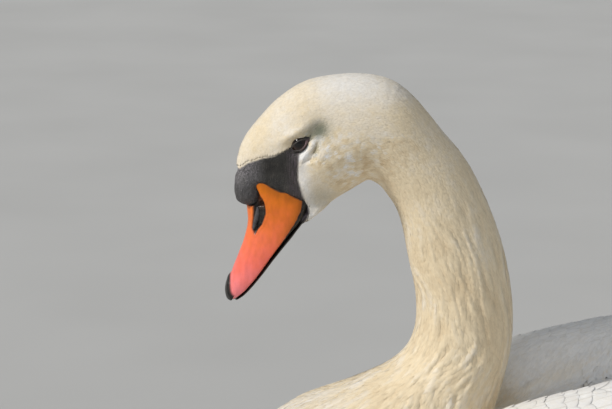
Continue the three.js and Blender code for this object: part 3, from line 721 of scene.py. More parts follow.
def on_cover(points):
    found = [cover_tree.find_nearest(p) for p in points.tolist()]
    face = np.array([f[2] for f in found])
    return np.array([f[0] for f in found]), face_normals[face], face_depths[face]


print(f"cover: {len(cover_faces)} faces")


# %% Walk on it
def flat_to(out, way):
    return unit(way - out * (way * out).sum(-1, keepdims=True))


def walk(start, way, length, stations):
    """Places, outward directions, lies and coat depths at shares of the length along the surface."""
    place, out, deep = on_cover(start)
    rows, gone = [], 0.0
    for share in stations:
        way = flat_to(out, way)
        if share > gone:
            place, out, deep = on_cover(place + way * (length * (share - gone))[:, None])
            way = flat_to(out, way)
        gone = share
        rows.append((place, out, way, deep))
    return [np.stack(parts, 1) for parts in zip(*rows)]


def straight(laid, length):
    """True for feathers that didn't fold back or climb over an edge on their way."""
    place, _, way, _ = laid
    reach = np.linalg.norm(place[:, -1] - place[:, 0], axis=1)
    no_fold = (way[:, 0] * way[:, -1]).sum(1) > 0.6
    return (reach > 0.86 * length) & no_fold & ((way[:, 1:] * way[:, :-1]).sum(2).min(1) > 0.8)


def turned(way, out, angle):
    return way * np.cos(angle)[:, None] + np.cross(out, way) * np.sin(angle)[:, None]


# %% [markdown]
# ## Stain and shade
# The head and neck are stained cream, as a swan's are from feeding in muddy water, and the stain fades on
# the breast. It is one number, mottled by noise, that skin and feathers both read. A second number is
# painted shade: it darkens the colour towards grey-green in the hollow above and behind the eye, in the
# crease behind it and under the cheek, where shade falls on the face.
# %% How cream each place is, and how much shade is painted on it
STAIN_BACK = ([0.07, 0.1, 0.14, 0.2, 0.3, 0.4, 0.46, 0.52, 0.62, 0.8],
              [0.33, 0.42, 0.36, 0.50, 0.58, 0.52, 0.38, 0.24, 0.07, 0.03])


def spot(points, y, z, long, high):
    """A soft oval on the side view, 1 in its middle, given in mm."""
    return np.exp(-(((points[:, 1] / MM - y) / long) ** 2) - ((points[:, 2] / MM - z) / high) ** 2)


def stain_of(points, back):
    x, y, z = points.T
    along = np.interp(back, *STAIN_BACK) * (1 - 0.7 * spot(points, -287, 468, 34, 16))
    along *= 1 - 0.85 * step(-0.168, -0.125, y)
    along *= 1 - 0.85 * step(0.035, 0.06, np.abs(x)) * step(-0.222, -0.2, y) * step(0.14, 0.17, z)
    patch = 0.12 * grain(points, 0.018, 21) + 0.04 * grain(points, 0.005, 22)
    rear_edge = np.exp(-(((outside_of(MASK_YZ_MM, points) - 2) / 4) ** 2)) * (y > -0.331)
    cheek = step(0.095, 0.12, back) * step(0.21, 0.16, back) * step(0.442, 0.42, z)
    patch += cheek * (0.17 + 0.42 * grain(points, 0.0026, 23) + 0.28 * grain(points, 0.007, 24))
    dy, dz = y / MM + 325.5, z / MM - 411.5
    band = np.clip(dy * 0.62 + dz * 0.785, 0, 20)
    off_band = np.hypot(dy - 0.62 * band, dz - 0.785 * band)
    pale = 0.25 * rear_edge + 0.4 * np.exp(-((off_band / 2.6) ** 2))
    return np.clip(along + patch * np.clip(along * 2.5, 0, 1) - pale * (back < FACE_TO), 0, 1)


# Painted shade: darker, grey-green colour in the hollow above and behind the eye, in the crease behind it and
# under the cheek.
def painted_shade_of(points):
    z = points[:, 2] / MM
    leaning = points - np.stack([0 * z, 0.35 * (z - 417) * MM, 0 * z], 1)
    painted_shade = 0.95 * spot(points, -312.5, 433, 7.5, 7) + 0.45 * spot(points, -320, 429, 7, 3.5)
    painted_shade += 0.75 * spot(leaning, -314.5, 417, 1.6, 6) + 0.4 * spot(points, -309, 378, 12, 9)
    return np.clip(painted_shade, 0, 1) * (np.abs(points[:, 0]) > 0.008)


skin_stain = stain_of(skin_points, skin_back)
set_attribute(skin, "stain_and_painted_light", skin_stain)
set_attribute(skin, "painted_shade", painted_shade_of(skin_points))
print(f"stain up to {skin_stain.max():.2f}")

# %% [markdown]
# ## A feather
# Tufts and vanes are the same kind of thing: a closed, thin tube, pointed at both ends, flat across the
# lie. A tuft's ring has three corners and a vane's has six. All the feathers of a group become one mesh.
# Each keeps its stain, with painted light and shade added on the neck's ridges, its painted shade, a
# random shade, its place from root to tip, and its patch on the skin's map. A second map, in metres
# across and along the feather, is for drawing its barbs and shaft. Light passes through soft feathers,
# so an upper face is shaded partly as the body under it.
# %% Points and faces of a group
TUFT_RING = np.array([(-1, 0), (1, 0), (0, 1)])
VANE_RING = np.array([(-1, 0), (0, -0.8), (1, 0), (0.5, 0.75), (0, 1.0), (-0.5, 0.75)])
PATCH = 0.0015  # half a feather's patch on the skin's map


def feather_points(centre, left, right, out, half, thick, ring, bend):
    """A point, rings of corners, and a point, for each feather: count x points x 3."""
    inner = slice(1, -1)
    u, up = ring[:, 0][:, None], ring[:, 1]
    body = (
        centre[:, inner, None] * (1 - u**2)
        + right[:, inner, None] * (u**2 + u) / 2
        + left[:, inner, None] * (u**2 - u) / 2
        + out[:, inner, None]
        * (thick[:, None, None] * up - bend * half[:, inner, None] * ring[:, 0] ** 2)[..., None]
    )
    return np.concatenate([centre[:, :1], body.reshape(len(centre), -1, 3), centre[:, -1:]], 1)


def feather_faces(rows, corners):
    """Four-cornered and three-cornered faces of one feather, and which of them face down."""
    j = np.arange(corners)
    right, last = (j + 1) % corners, 1 + (rows - 3) * corners
    quads = [np.stack([a + j, a + right, a + corners + right, a + corners + j], 1)
             for a in range(1, last, corners)]
    tris = [np.stack([0 * j, 1 + right, 1 + j], 1),
            np.stack([last + j, last + right, 0 * j + last + corners], 1)]
    under = j < (1 if corners == 3 else 2)
    return np.concatenate(quads), np.concatenate(tris), np.tile(under, rows - 3), np.tile(under, 2)


# %% Shade, map and name a group
def soften(obj, outward, underside, share):
    corner, face = corners_of(obj)
    mixed = unit(normals_of(obj)[corner] * (1 - share) + outward[corner] * share)
    flat = read(obj.data.polygons, "normal", 3)[face]
    mixed[underside[face]] = flat[underside[face]]
    obj.data.normals_split_custom_set(mixed.tolist())


def feathers(name, laid, width, thick, sink, profile, ring, stations, bend=0.0, seed=0, stain_and_painted_light=None, soft=0.6,
             edges=None, shading=None):
    """One mesh of many feathers. Without edges they lie flat, and without shading as the surface does."""
    place, out, way, deep = laid
    count, rows = place.shape[:2]
    rng = np.random.default_rng(seed)
    back, angle, _ = along_spine(place[:, 0])
    stain_and_painted_light = stain_of(place[:, 0], back) if stain_and_painted_light is None else stain_and_painted_light
    centre = place - out * (deep * (1 - sink))[..., None]
    half = 0.5 * width[:, None] * profile
    over = unit(np.cross(out, way)) * half[..., None]
    left, right = edges or [centre - over, centre + over]
    points = feather_points(centre, left, right, out, half, np.broadcast_to(thick, count), ring, bend)
    quads, tris, under_quads, under_tris = feather_faces(rows, len(ring))
    each = points.shape[1]
    offset = (np.arange(count) * each)[:, None, None]
    faces = [(quads + offset).reshape(-1, 4), (tris + offset).reshape(-1, 3)]
    made = mesh_piece(name, points.reshape(-1, 3), faces)

    across = np.tile(np.concatenate([[0], np.tile(ring[:, 0], rows - 2), [0]]), count)
    along = np.tile(np.concatenate([[0], np.repeat(stations[1:-1], len(ring)), [1]]), count)
    length = np.linalg.norm(np.diff(place, axis=1), axis=2).sum(1)
    spread = lambda values: np.repeat(values, each, 0)
    set_attribute(made, "stain_and_painted_light", spread(stain_and_painted_light))
    set_attribute(made, "painted_shade", spread(painted_shade_of(place[:, 0])))
    set_attribute(made, "shade", spread(rng.random(count)))
    set_attribute(made, "along", along)
    corner, _ = corners_of(made)
    patch = np.stack([across, along * 2 - 1], 1) * PATCH
    add_map(made, "OFBake", np.clip(spread(on_map(back, angle)) + patch, 0, 1)[corner])
    add_map(made, "barbs", np.stack([across * spread(width) / 2, along * spread(length)], 1)[corner])
    made.data.uv_layers.active = made.data.uv_layers["OFBake"]
    made.data.uv_layers["OFBake"].active_render = True
    finished(made, "plumage_cream" if stain_and_painted_light.mean() > 0.3 else "plumage_white")
    facing = out if shading is None else shading
    outward = np.concatenate([facing[:, :1], np.repeat(facing[:, 1:-1], len(ring), 1), facing[:, -1:]], 1)
    under = np.append(np.tile(under_quads, count), np.tile(under_tris, count))
    soften(made, outward.reshape(-1, 3), under, soft)
    print(f"{name}: {count} feathers, {count * (2 * len(quads) + len(tris))} triangles")
    return made


# %% [markdown]
# Roots are scattered evenly. Many more places than needed are thrown on the skin at random, space is cut
# into cells as wide as the gap wanted there, and one place is kept in each cell.
# %% Scatter roots on the skin
skin.data.calc_loop_triangles()
skin_tris = read(skin.data.loop_triangles, "vertices", 3, np.int32)
tri_back = skin_back[skin_tris].mean(1)
tri_corners = skin_points[skin_tris]
tri_sides = tri_corners[:, 1:] - tri_corners[:, :1]
tri_area = np.linalg.norm(np.cross(tri_sides[:, 0], tri_sides[:, 1]), axis=1) / 2
CELL_GROWTH = 1.15  # each size of cell against the one before


def scatter(use, gap_of_back, seed):
    """Even random places on the skin's triangles where use is true."""
    rng = np.random.default_rng(seed)
    gap = gap_of_back(tri_back)
    weight = tri_area * use / gap**2
    wanted = int(weight.sum() * 6)
    chosen = rng.choice(len(weight), wanted, p=weight / weight.sum())
    a, b = rng.random((2, wanted))
    flip = a + b > 1
    shares = np.stack([np.where(flip, 1 - a, a), np.where(flip, 1 - b, b)], 1)
    places = tri_corners[chosen, 0] + (tri_sides[chosen] * shares[..., None]).sum(1)
    level = np.round(np.log(gap[chosen]) / np.log(CELL_GROWTH)).astype(int)
    cell = np.floor(places / (CELL_GROWTH**level)[:, None] + 0.5).astype(np.int64)
    key = ((cell[:, 0] * 73856093) ^ (cell[:, 1] * 19349663) ^ (cell[:, 2] * 83492791)) * 64 + (level % 64)
    return places[np.unique(key, return_index=True)[1]]


def spaced(places, gap, seed):
    """Keep places so that none is nearer to another than the gap there."""
    home = (places // gap.max()).astype(int).tolist()
    beside = list(itertools.product((-1, 0, 1), repeat=3))
    kept, grid = [], {}
    for i in np.random.default_rng(seed).permutation(len(places)):
        x, y, z = home[i]
        near = [k for dx, dy, dz in beside for k in grid.get((x + dx, y + dy, z + dz), ())]
        if all(np.sum((places[i] - places[k]) ** 2) > gap[i] ** 2 for k in near):
            kept.append(i)
            grid.setdefault((x, y, z), []).append(i)
    return np.array(kept)


# %% [markdown]
# ## Head and neck
# The face wears velvet: tufts a few millimetres long and a millimetre or two wide. They grow down the
# neck into soft tufts two centimetres long. There the plumage parts into soft ridges that run and swing
# along the neck, so a tuft's height, its way and its shading all follow one long, narrow noise, and so does
# its painted light and shade: less stain on a ridge top, more in a hollow. None grow on the bare black
# skin, over the eye, or inside the bill.
# %% Where small feathers grow
HORN_SIDE_YZ_MM = [
    (-420, 400), (-361, 393), (-323.5, 378), (-317.5, 367), (-322.5, 356), (-330, 340), (-335, 280),
    (-420, 280),
]
EYE_MARGIN = 1.35  # how much wider than the opening the bare oval round the eye is


def feathered(points):
    """True off the bare skin, the eye and the bill."""
    along, over = turned_axes(points, OPENING_CENTRE_MM, OPENING_TURN)
    oval = (along / OPENING_MM[0]) ** 2 + (over / OPENING_MM[1]) ** 2
    at_eye = (oval < EYE_MARGIN**2) & (np.abs(points[:, 0]) > 0.01)
    return (outside_of(MASK_YZ_MM, points) > 0.5) & (outside_of(HORN_SIDE_YZ_MM, points) > 0.3) & ~at_eye


def girth_at(back):
    return np.interp(back, [0.2, 0.36, 0.44, 0.55], [32, 34, 55, 100]) * MM


def sway(back, angle):
    """How far, in radians, the ridges swing round the neck."""
    return 0.3 * grain(np.stack([back, np.cos(angle) * 0.03, np.sin(angle) * 0.03], 1), 0.035, 35)


def ridges(back, angle):
    """How high the neck's soft ridges stand: long along the lie and narrow across it."""
    swung, girth = angle + sway(back, angle), girth_at(back)
    spot = np.stack([np.cos(swung) * girth, np.sin(swung) * girth, back * 0.2], 1)
    return grain(spot, 0.0036, 36) + 0.5 * grain(spot, 0.0018, 37)


# %% Velvet on the head, tufts on the neck
TUFT_STATIONS = [0, 0.3, 0.68, 1.0]
TUFT_PROFILE = np.array([0, 0.95, 0.8, 0])
TUFT_BACK = [0.07, 0.12, 0.17, 0.21, 0.3, 0.42, 0.52]
TUFT_GAP_MM = [0.9, 1.05, 1.15, 1.35, 1.6, 2.2, 3.0]
TUFT_LENGTH_MM = [3.6, 5.4, 7.2, 9.5, 13, 17, 22]
TUFT_WIDTH_MM = [1.6, 2.0, 2.1, 2.3, 2.8, 3.9, 5.8]
TUFT_THICK = 0.04
NECK_END = 0.5
RIDGE_HEIGHT = 0.0011


def small_feathers(name, low, high, seed):
    gap = lambda b: np.interp(b, TUFT_BACK, TUFT_GAP_MM) * MM
    roots = scatter((tri_back >= low) & (tri_back < high), gap, seed)
    roots = roots[feathered(roots)]
    rng = np.random.default_rng(seed + 1)
    back, angle, way = along_spine(roots)
    kept = back < NECK_END - 0.035 * rng.random(len(roots)) ** 1.5  # tufts thin out among the first vanes
    roots, back, angle, way = roots[kept], back[kept], angle[kept], way[kept]
    count, out = len(roots), on_cover(roots)[1]
    shoulder = step(0.04, 0.06, np.abs(roots[:, 0])) * step(-0.235, -0.21, roots[:, 1])
    clump = step(0.19, 0.28, back) * (1 - 0.8 * shoulder)
    swing = (sway(back + 0.004, angle) - sway(back - 0.004, angle)) / 0.008
    twist = rng.normal(0, 0.1, count) + clump * np.arctan(girth_at(back) * swing)
    way = turned(flat_to(out, way), out, twist)
    length = np.interp(back, TUFT_BACK, TUFT_LENGTH_MM) * MM * rng.uniform(0.8, 1.2, count)
    width = np.interp(back, TUFT_BACK, TUFT_WIDTH_MM) * MM * rng.uniform(0.8, 1.15, count)
    laid = walk(roots, way, length, TUFT_STATIONS)
    place, out, way, deep = laid
    far, round_at, _ = along_spine(place.reshape(-1, 3))
    turn = 0.001 / girth_at(far)
    slope = (ridges(far, round_at + turn) - ridges(far, round_at - turn)).reshape(deep.shape) / 0.002
    shading = unit(out + np.cross(out, way) * (slope * clump[:, None] * RIDGE_HEIGHT)[..., None])
    height = clump * ridges(far, round_at).reshape(deep.shape)[:, 2]
    tip = 0.95 + rng.normal(0, 0.02, count) + 0.06 * height
    sink = np.stack([np.full(count, -0.12), tip * 0.84, tip * 0.97, tip], 1)
    # Painted light and shade: tufts on a ridge top get less stain and look paler, those in a hollow get more.
    stain_and_painted_light = np.clip(stain_of(roots, back) - 0.15 * height, 0, 1)
    return feathers(name, laid, width, width * TUFT_THICK, sink, TUFT_PROFILE, TUFT_RING, TUFT_STATIONS,
                    seed=seed, stain_and_painted_light=stain_and_painted_light, soft=0.82, shading=shading)


TUFT_GROUPS = ["velvet_face", "velvet_crown", "neck_tufts_upper", "neck_tufts_middle", "neck_tufts_lower",
               "breast_tufts"]
GROUP_BACK = [0.05, 0.135, 0.205, 0.28, 0.37, 0.44, NECK_END]
coat = [small_feathers(name, GROUP_BACK[k], GROUP_BACK[k + 1], 40 + k) for k, name in enumerate(TUFT_GROUPS)]

# %% [markdown]
# ## The wing's own surface
# A folded wing has its own order of feathers, so they are laid on its own surface. The surface runs
# through the solid's rows, from the inner edge over the ridge and the side to the lower edge. Past its
# edges it tucks in, so that edge feathers wrap round them.
# %% Surface of the folded wing
WING_ROWS = [  # y; inner, ridge, side and lower edge, each as x and z
    (-199, 64, 200, 80, 209, 99, 192, 106, 168), (-187, 50, 203, 79, 225, 124, 188, 127, 136),
    (-162, 40, 207, 79, 236, 144, 190, 146, 110), (-120, 33, 215, 80, 247, 160, 193, 159, 93),
    (-60, 22, 229, 78, 260, 170, 196, 166, 83), (10, 8, 244, 68, 268, 173, 196, 166, 80),
    (80, 3, 252, 56, 266, 165, 192, 158, 86), (145, 1.5, 246, 46, 254, 145, 186, 142, 100),
    (200, 1.5, 227, 38, 232, 115, 178, 118, 118), (245, 1.5, 206, 31, 209, 85, 170, 95, 134),
    (285, 2, 187, 25, 189, 60, 163, 71, 143), (315, 5, 172, 20, 173, 40, 158, 50, 148),
    (330, 14, 162, 22, 163, 31, 157, 37, 152),
]
WING_ALONG, WING_ACROSS = 10, 12


def wing_sheet():
    rows = smooth_curve(WING_ROWS, WING_ALONG)
    knots = rows[:, 1:].reshape(len(rows), 4, 2)
    ends = np.concatenate([2 * knots[:, :1] - knots[:, 1:2], knots, 2 * knots[:, -1:] - knots[:, -2:-1]], 1)
    pieces = []
    for k in range(3):
        a, b, c, d = (ends[:, k + i] for i in range(4))
        p, q, r = (np.linalg.norm(v - u, axis=1, keepdims=True) ** 0.5 for u, v in ((a, b), (b, c), (c, d)))
        leave = ((b - a) / p - (c - a) / (p + q) + (c - b) / q) * q
        reach = ((c - b) / q - (d - b) / (q + r) + (d - c) / r) * q
        t = np.linspace(0, 1, WING_ACROSS, endpoint=False)[None, :, None]
        b, c, leave, reach = (v[:, None] for v in (b, c, leave, reach))
        bow, twist = 3 * (c - b) - 2 * leave - reach, 2 * (b - c) + leave + reach
        pieces.append(b + leave * t + bow * t**2 + twist * t**3)
    section = np.concatenate(pieces + [knots[:, -1:]], 1)
    sheet = np.stack([section[..., 0], np.repeat(rows[:, :1], section.shape[1], 1), section[..., 1]], -1) * MM
    outward = unit(np.cross(np.gradient(sheet, axis=1), np.gradient(sheet, axis=0)))
    outward *= np.sign(outward[60, 24] @ np.array([1, 0, 0.3]))
    return sheet, outward


wing_grid, wing_out = wing_sheet()
wing_y = wing_grid[:, 0, 1]
wing_arc = np.linalg.norm(np.diff(wing_grid, axis=1), axis=2).sum(1)
print(f"wing sheet {wing_grid.shape}")


# %% Places on it and past its edges
def on_wing(across, y, side):
    """Place and outward direction on a wing, for shares across it (0 to 1) and distances y in metres."""
    last = wing_grid.shape[1] - 1
    row = np.clip(np.interp(y, wing_y, np.arange(len(wing_y))), 0, len(wing_y) - 1.001)
    col = np.clip(across, 0, 1) * (last - 0.001)
    i, j = row.astype(int), col.astype(int)
    u, v = (row - i)[..., None], (col - j)[..., None]
    place, out = ((grid[i, j] * (1 - u) + grid[i + 1, j] * u) * (1 - v)
                  + (grid[i, j + 1] * (1 - u) + grid[i + 1, j + 1] * u) * v for grid in (wing_grid, wing_out))
    over = across - np.clip(across, 0, 1)
    tangent = unit(wing_grid[i, np.where(over < 0, 0, last)] - wing_grid[i, np.where(over < 0, 2, last - 2)])
    beyond = (np.abs(over) * np.interp(y, wing_y, wing_arc))[..., None]
    return (place + beyond * (0.8 * tangent - 0.6 * unit(out))) * [side, 1, 1], unit(out) * [side, 1, 1]


# %% [markdown]
# ## Body feathers
# From the base of the neck back, rounded vanes two to four centimetres long overlap like soft tiles,
# on the breast, the flanks, the belly and the back between the wings, and over the root of the tail.
# Their edges hug the surface, and one that would stand off it is left out.
# %% Where body feathers root
BODY_FROM = 0.44  # metres back along the spine, where body feathers begin
CORNER = (0.12, -140)  # the wing's inner front corner, across and y, wears body feathers
wing_near = kdtree.KDTree(wing_grid[..., 0].size)
for index, place in enumerate(wing_grid.reshape(-1, 3).tolist()):
    wing_near.insert(place, index)
wing_near.balance()


def off_wing(points):
    """True for roots that don't lie under the wing's own feathers."""
    found = [wing_near.find((abs(x), y, z)) for x, y, z in points.tolist()]
    row, col = np.divmod([f[1] for f in found], wing_grid.shape[1])
    gap = np.array([f[2] for f in found])
    gap = np.where((points[:, 1] < -0.185) & (points[:, 2] < 0.19), gap + 0.004, gap)
    inside = (col > 0) & (col < wing_grid.shape[1] - 1) & (row > 0) & (row < len(wing_grid) - 1)
    corner = (col < CORNER[0] * wing_grid.shape[1]) & (points[:, 1] < CORNER[1] * MM)
    in_gap = (points[:, 1] > 0.25) & (points[:, 2] > 0.1)
    return ((~inside | (gap > 0.018)) & (gap > 0.0045) | corner) & ~in_gap


def body_gap(back):
    return np.interp(back, [BODY_FROM, 0.5, 0.6, 0.8, 1.0], [5.5, 8, 11.5, 14, 15]) * MM


roots = scatter(tri_back >= BODY_FROM, lambda back: body_gap(back) * 0.45, 60)
roots = roots[off_wing(roots)]
roots = roots[spaced(roots, body_gap(along_spine(roots)[0]), 61)]
print(f"{len(roots)} roots of body feathers")

# %% Vanes on the body
VANE_STATIONS = [0, 0.14, 0.4, 0.68, 0.84, 0.94, 1.0]
VANE_PROFILE = np.array([0, 0.5, 0.92, 1.0, 0.86, 0.56, 0])
VANE_RISE = np.array([-0.1, 0.45, 0.76, 0.89, 0.94, 0.97, 0.98])
VANE_THICK = 0.0002
VANE_LONG, VANE_WIDE = 3.1, 1.95  # against the gap between roots
UNDERSIDE_Z = 0.075
OFF_FLOOR, OFF_SURFACE = 0.0012, 0.0018  # the lowest edge, and the furthest an edge may stand off


def hugging(laid, half, sink):
    """Both edges of feathers that hug the surface, or lie flat where it turns away too sharply."""
    place, out, way, deep = laid
    side = unit(np.cross(out, way))
    found = []
    for sign in (-1, 1):
        spot = place + side * (sign * half)[..., None]
        near, away, depth = (part.reshape(*half.shape, -1) for part in on_cover(spot.reshape(-1, 3)))
        lone = (np.linalg.norm(near - spot, axis=2) > 0.45 * half + 0.001) | ((away * out).sum(2) < 0.4)
        found.append(np.where(lone[..., None], spot - out * (deep * (1 - sink))[..., None],
                              near - away * depth * (1 - sink)[..., None]))
    return found


def body_vanes(name, roots, length, width, seed):
    rng = np.random.default_rng(seed)
    way, out = along_spine(roots)[2], on_cover(roots)[1]
    way = turned(flat_to(out, way), out, rng.normal(0, 0.07, len(roots)) + 0.12 * grain(roots, 0.03, seed))
    length = length * rng.uniform(0.9, 1.1, len(roots))
    width = width * rng.uniform(0.9, 1.1, len(roots))
    laid = walk(roots, way, length, VANE_STATIONS)
    good = straight(laid, length)
    laid, width = [part[good] for part in laid], width[good]
    laid[0][..., 2] = np.maximum(laid[0][..., 2], OFF_FLOOR)
    sink = VANE_RISE + rng.normal(0, 0.03, good.sum())[:, None] * VANE_RISE.clip(0)
    edges = hugging(laid, 0.5 * width[:, None] * VANE_PROFILE, sink)
    for edge in edges:
        edge[..., 2] = np.maximum(edge[..., 2], OFF_FLOOR)
    reach = np.stack(edges, 1).reshape(-1, 3)
    near, away, _ = on_cover(reach)
    low = ((reach - near) * away).sum(1).reshape(len(width), -1).max(1) < OFF_SURFACE
    laid, edges = [part[low] for part in laid], [edge[low] for edge in edges]
    return feathers(name, laid, width[low], VANE_THICK, sink[low], VANE_PROFILE, VANE_RING, VANE_STATIONS,
                    bend=0.05, seed=seed, edges=edges)


below = roots[:, 2] < UNDERSIDE_Z
body_coat = []
for name, part in (("body_vanes_upper", ~below), ("body_vanes_lower", below)):
    size = body_gap(along_spine(roots[part])[0])
    body_coat.append(body_vanes(name, roots[part], size * VANE_LONG, size * VANE_WIDE, 62))

# %% [markdown]
# ## Wing feathers
# Rows of coverts grow in size from the front of the wing backwards, each row's tips over the next row's
# roots. Long scapulars lie on the ridge, and under the coverts the secondaries and tertials reach back
# over the folded flight feathers. Each row is offset by half a feather from the one before, and each
# feather's outer edge is raised a little over its neighbour.
# %% Tables for the wing
WING_FEATHERS = [  # first and last root, step, first and last length, width, from and to across, sunk, raised
    ("lesser_coverts", -202, -92, 10, 28, 42, 18, 0.0, 1.04, 0.0, 0.0),
    ("median_coverts", -82, -34, 16, 50, 64, 23, 0.0, 1.04, 0.0, 0.1),
    ("greater_coverts", -16, 12, 28, 80, 92, 26, 0.34, 1.03, 0.3, 0.25),
    ("scapulars", -14, 128, 20, 70, 98, 32, 0.0, 0.42, 0.0, 0.1),
    ("secondaries", 50, 50, 28, 300, 300, 31, 0.30, 0.99, 1.0, 0.7),
    ("tertials", 100, 180, 40, 128, 150, 34, 0.0, 0.4, 0.6, 0.4),
]
LONG_STATIONS = np.array([0, 0.1, 0.28, 0.52, 0.76, 0.87, 0.94, 0.98, 1.0])
LONG_PROFILE = np.array([0, 0.45, 0.85, 1.0, 0.98, 0.87, 0.66, 0.4, 0])


def mirrored(side_of):
    """What to multiply places by, to move feathers to their own side."""
    return np.stack([side_of, np.ones_like(side_of), np.ones_like(side_of)], -1)[:, None]


def wing_edges(across, y, half, side_of, depth, tilt=0.0):
    """Both edges of feathers on the wing, the outer one raised by the tilt and the inner one lowered."""
    share = half / np.interp(y * MM, wing_y, wing_arc)
    found = []
    for sign in (-1, 1):
        place, out = on_wing(across + sign * share, y * MM, 1)
        found.append((place - out * (depth - sign * tilt)[..., None]) * mirrored(side_of))
    swap = (np.asarray(side_of) > 0)[:, None, None]
    return [np.where(swap, found[1], found[0]), np.where(swap, found[0], found[1])]


def tip_line(across):
    """How far back feathers reach: furthest just below the ridge, less far towards both edges."""
    lower, upper = np.clip((across - 0.42) / 0.58, 0, 1), np.clip((0.42 - across) / 0.42, 0, 1)
    return 329 - 105 * lower**1.2 - 45 * upper**1.5


# %% Rows of wing feathers
def row_places(first, last, gap, short, long, width, low, high, rng):
    """Share across, y of the root, length, side and row number of every feather of one kind."""
    found = []
    for side in SIDES:
        for k, y in enumerate(np.arange(first, last + 0.1, gap)):
            line = on_wing(np.linspace(low, high, 30), np.full(30, y * MM), side)[0]
            arc = np.linalg.norm(np.diff(line, axis=0), axis=1).sum() / MM
            many = max(int(arc / (width * 0.52)), 3)
            shift = (0.5 if k % 2 else 0.0) + rng.normal(0, 0.06, many)
            across = low + (high - low) * (np.arange(many) + shift) / many
            start = y + rng.normal(0, gap * 0.1, many)
            length = short + (long - short) * (y - first) / max(last - first, 1)
            length = length * rng.uniform(0.95, 1.05, many)
            found.append(np.stack([across, start, length, 0 * start + side, 0 * start + k]))
    found = np.concatenate(found, 1)
    return found[:, (found[0] > CORNER[0]) | (found[1] > CORNER[1])]


def wing_rows(name, first, last, gap, short, long, width, low, high, deeper, lift, seed):
    rng = np.random.default_rng(seed)
    across, start, length, side_of, order = row_places(first, last, gap, short, long, width, low, high, rng)
    count = len(across)
    end = np.minimum(start + length, tip_line(across) - 12 + 10 * order + rng.normal(0, 2, count))
    y = start[:, None] + (end - start)[:, None] * LONG_STATIONS
    drift = (0.5 - across[:, None]) * 0.04 + rng.normal(0, 0.01, count)[:, None]
    drift = across[:, None] + drift * LONG_STATIONS
    place, out = (part * mirrored(side_of) for part in on_wing(drift, y * MM, 1))
    way = flat_to(out, np.gradient(place, axis=1))
    room = np.interp(y, [-200, -150, 200, 260, 330], [3, 5.5, 5.5, 4, 3.0]) * MM
    settled = np.exp(-(y - start[:, None]) / np.minimum(0.26 * (end - start), 16)[:, None])
    still = 0.2 * np.clip(90 / (end - start), 0, 1)[:, None] * (1 - LONG_STATIONS)
    uneven = rng.normal(0, 0.012, count)[:, None] - deeper * 0.25 - still
    rise = 0.98 - 1.08 * settled + uneven * (1 - settled)
    wide = width * MM * np.clip((329 - start) / 200, 0.6, 1)
    edges = wing_edges(drift, y, 0.5 * wide[:, None] * LONG_PROFILE, side_of, room * (1 - rise), lift * MM)
    stain_and_painted_light = 0.03 + 0.08 * step(-150, -200, start)
    return feathers(name, [place, out, way, room], wide, VANE_THICK, rise, LONG_PROFILE, VANE_RING,
                    LONG_STATIONS, bend=0.04, seed=seed, stain_and_painted_light=stain_and_painted_light, edges=edges)


wing_pieces = [wing_rows(*row, 70 + k) for k, row in enumerate(WING_FEATHERS)]

# %% [markdown]
# The longest flight feathers lie folded under the rest, and only their tips reach out over the tail. They
# are stacked like a closed fan, the outermost lowest.
# %% Folded flight feathers
FLIGHT_LAYERS = [  # share across, y of the tip in mm, depth under the wing's surface in mm
    (0.12, 322, 0.6), (0.24, 329, 0.9), (0.36, 330, 1.3), (0.48, 328, 1.7), (0.6, 322, 2.0), (0.72, 312, 2.2),
    (0.84, 298, 2.2), (0.95, 280, 2.2), (0.3, 318, 3.4), (0.55, 314, 3.8), (0.8, 296, 3.8), (0.15, 300, 3.0),
]
FLIGHT_ROOT_Y, FLIGHT_THICK = 100, 0.0005


def flight_feathers(side, seed=80):
    rng = np.random.default_rng(seed)
    across, end, deep = np.array(FLIGHT_LAYERS, float).T
    count = len(across)
    y = FLIGHT_ROOT_Y + (end[:, None] - FLIGHT_ROOT_Y) * LONG_STATIONS
    across = across[:, None] + 0 * y
    place, out = on_wing(across, y * MM, side)
    way = flat_to(out, np.gradient(place, axis=1))
    width = rng.uniform(26, 30, count) * MM
    taper = LONG_PROFILE * np.array([1, 1, 1, 0.9, 0.75, 0.66, 0.6, 0.55, 1])
    depth = deep[:, None] + 0.9 + 1.5 * step(285, 235, y)
    edges = wing_edges(across, y, 0.5 * width[:, None] * taper, np.full(count, side), depth * MM)
    laid = [place, out, way, np.full(y.shape, MM)]
    return feathers(f"flight_feathers_{SIDES[side]}", laid, width, FLIGHT_THICK, 1 - depth, taper, VANE_RING,
                    LONG_STATIONS, bend=0.05, seed=seed, stain_and_painted_light=np.full(count, 0.02), soft=0.3, edges=edges)


flights = [flight_feathers(side) for side in SIDES]
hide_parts("wing_left_flight")
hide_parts("wing_right_flight")

# %% [markdown]
# ## Tail
# Twenty-two broad, round-ended feathers make a short wedge, the middle ones longest and on top. Softer
# coverts lie over and under their roots.
# %% Tail feathers
TAIL_COUNT, TAIL_ROOT_Y, TAIL_END_Y = 22, 205, 385
TAIL_TOP_MM = ([205, 245, 285, 325, 355, 376, 386], [146, 144, 140, 135.5, 133, 132, 131.6])
TAIL_PROFILE = np.array([0, 0.4, 0.7, 0.85, 0.95, 1.0, 0.95, 0.7, 0])


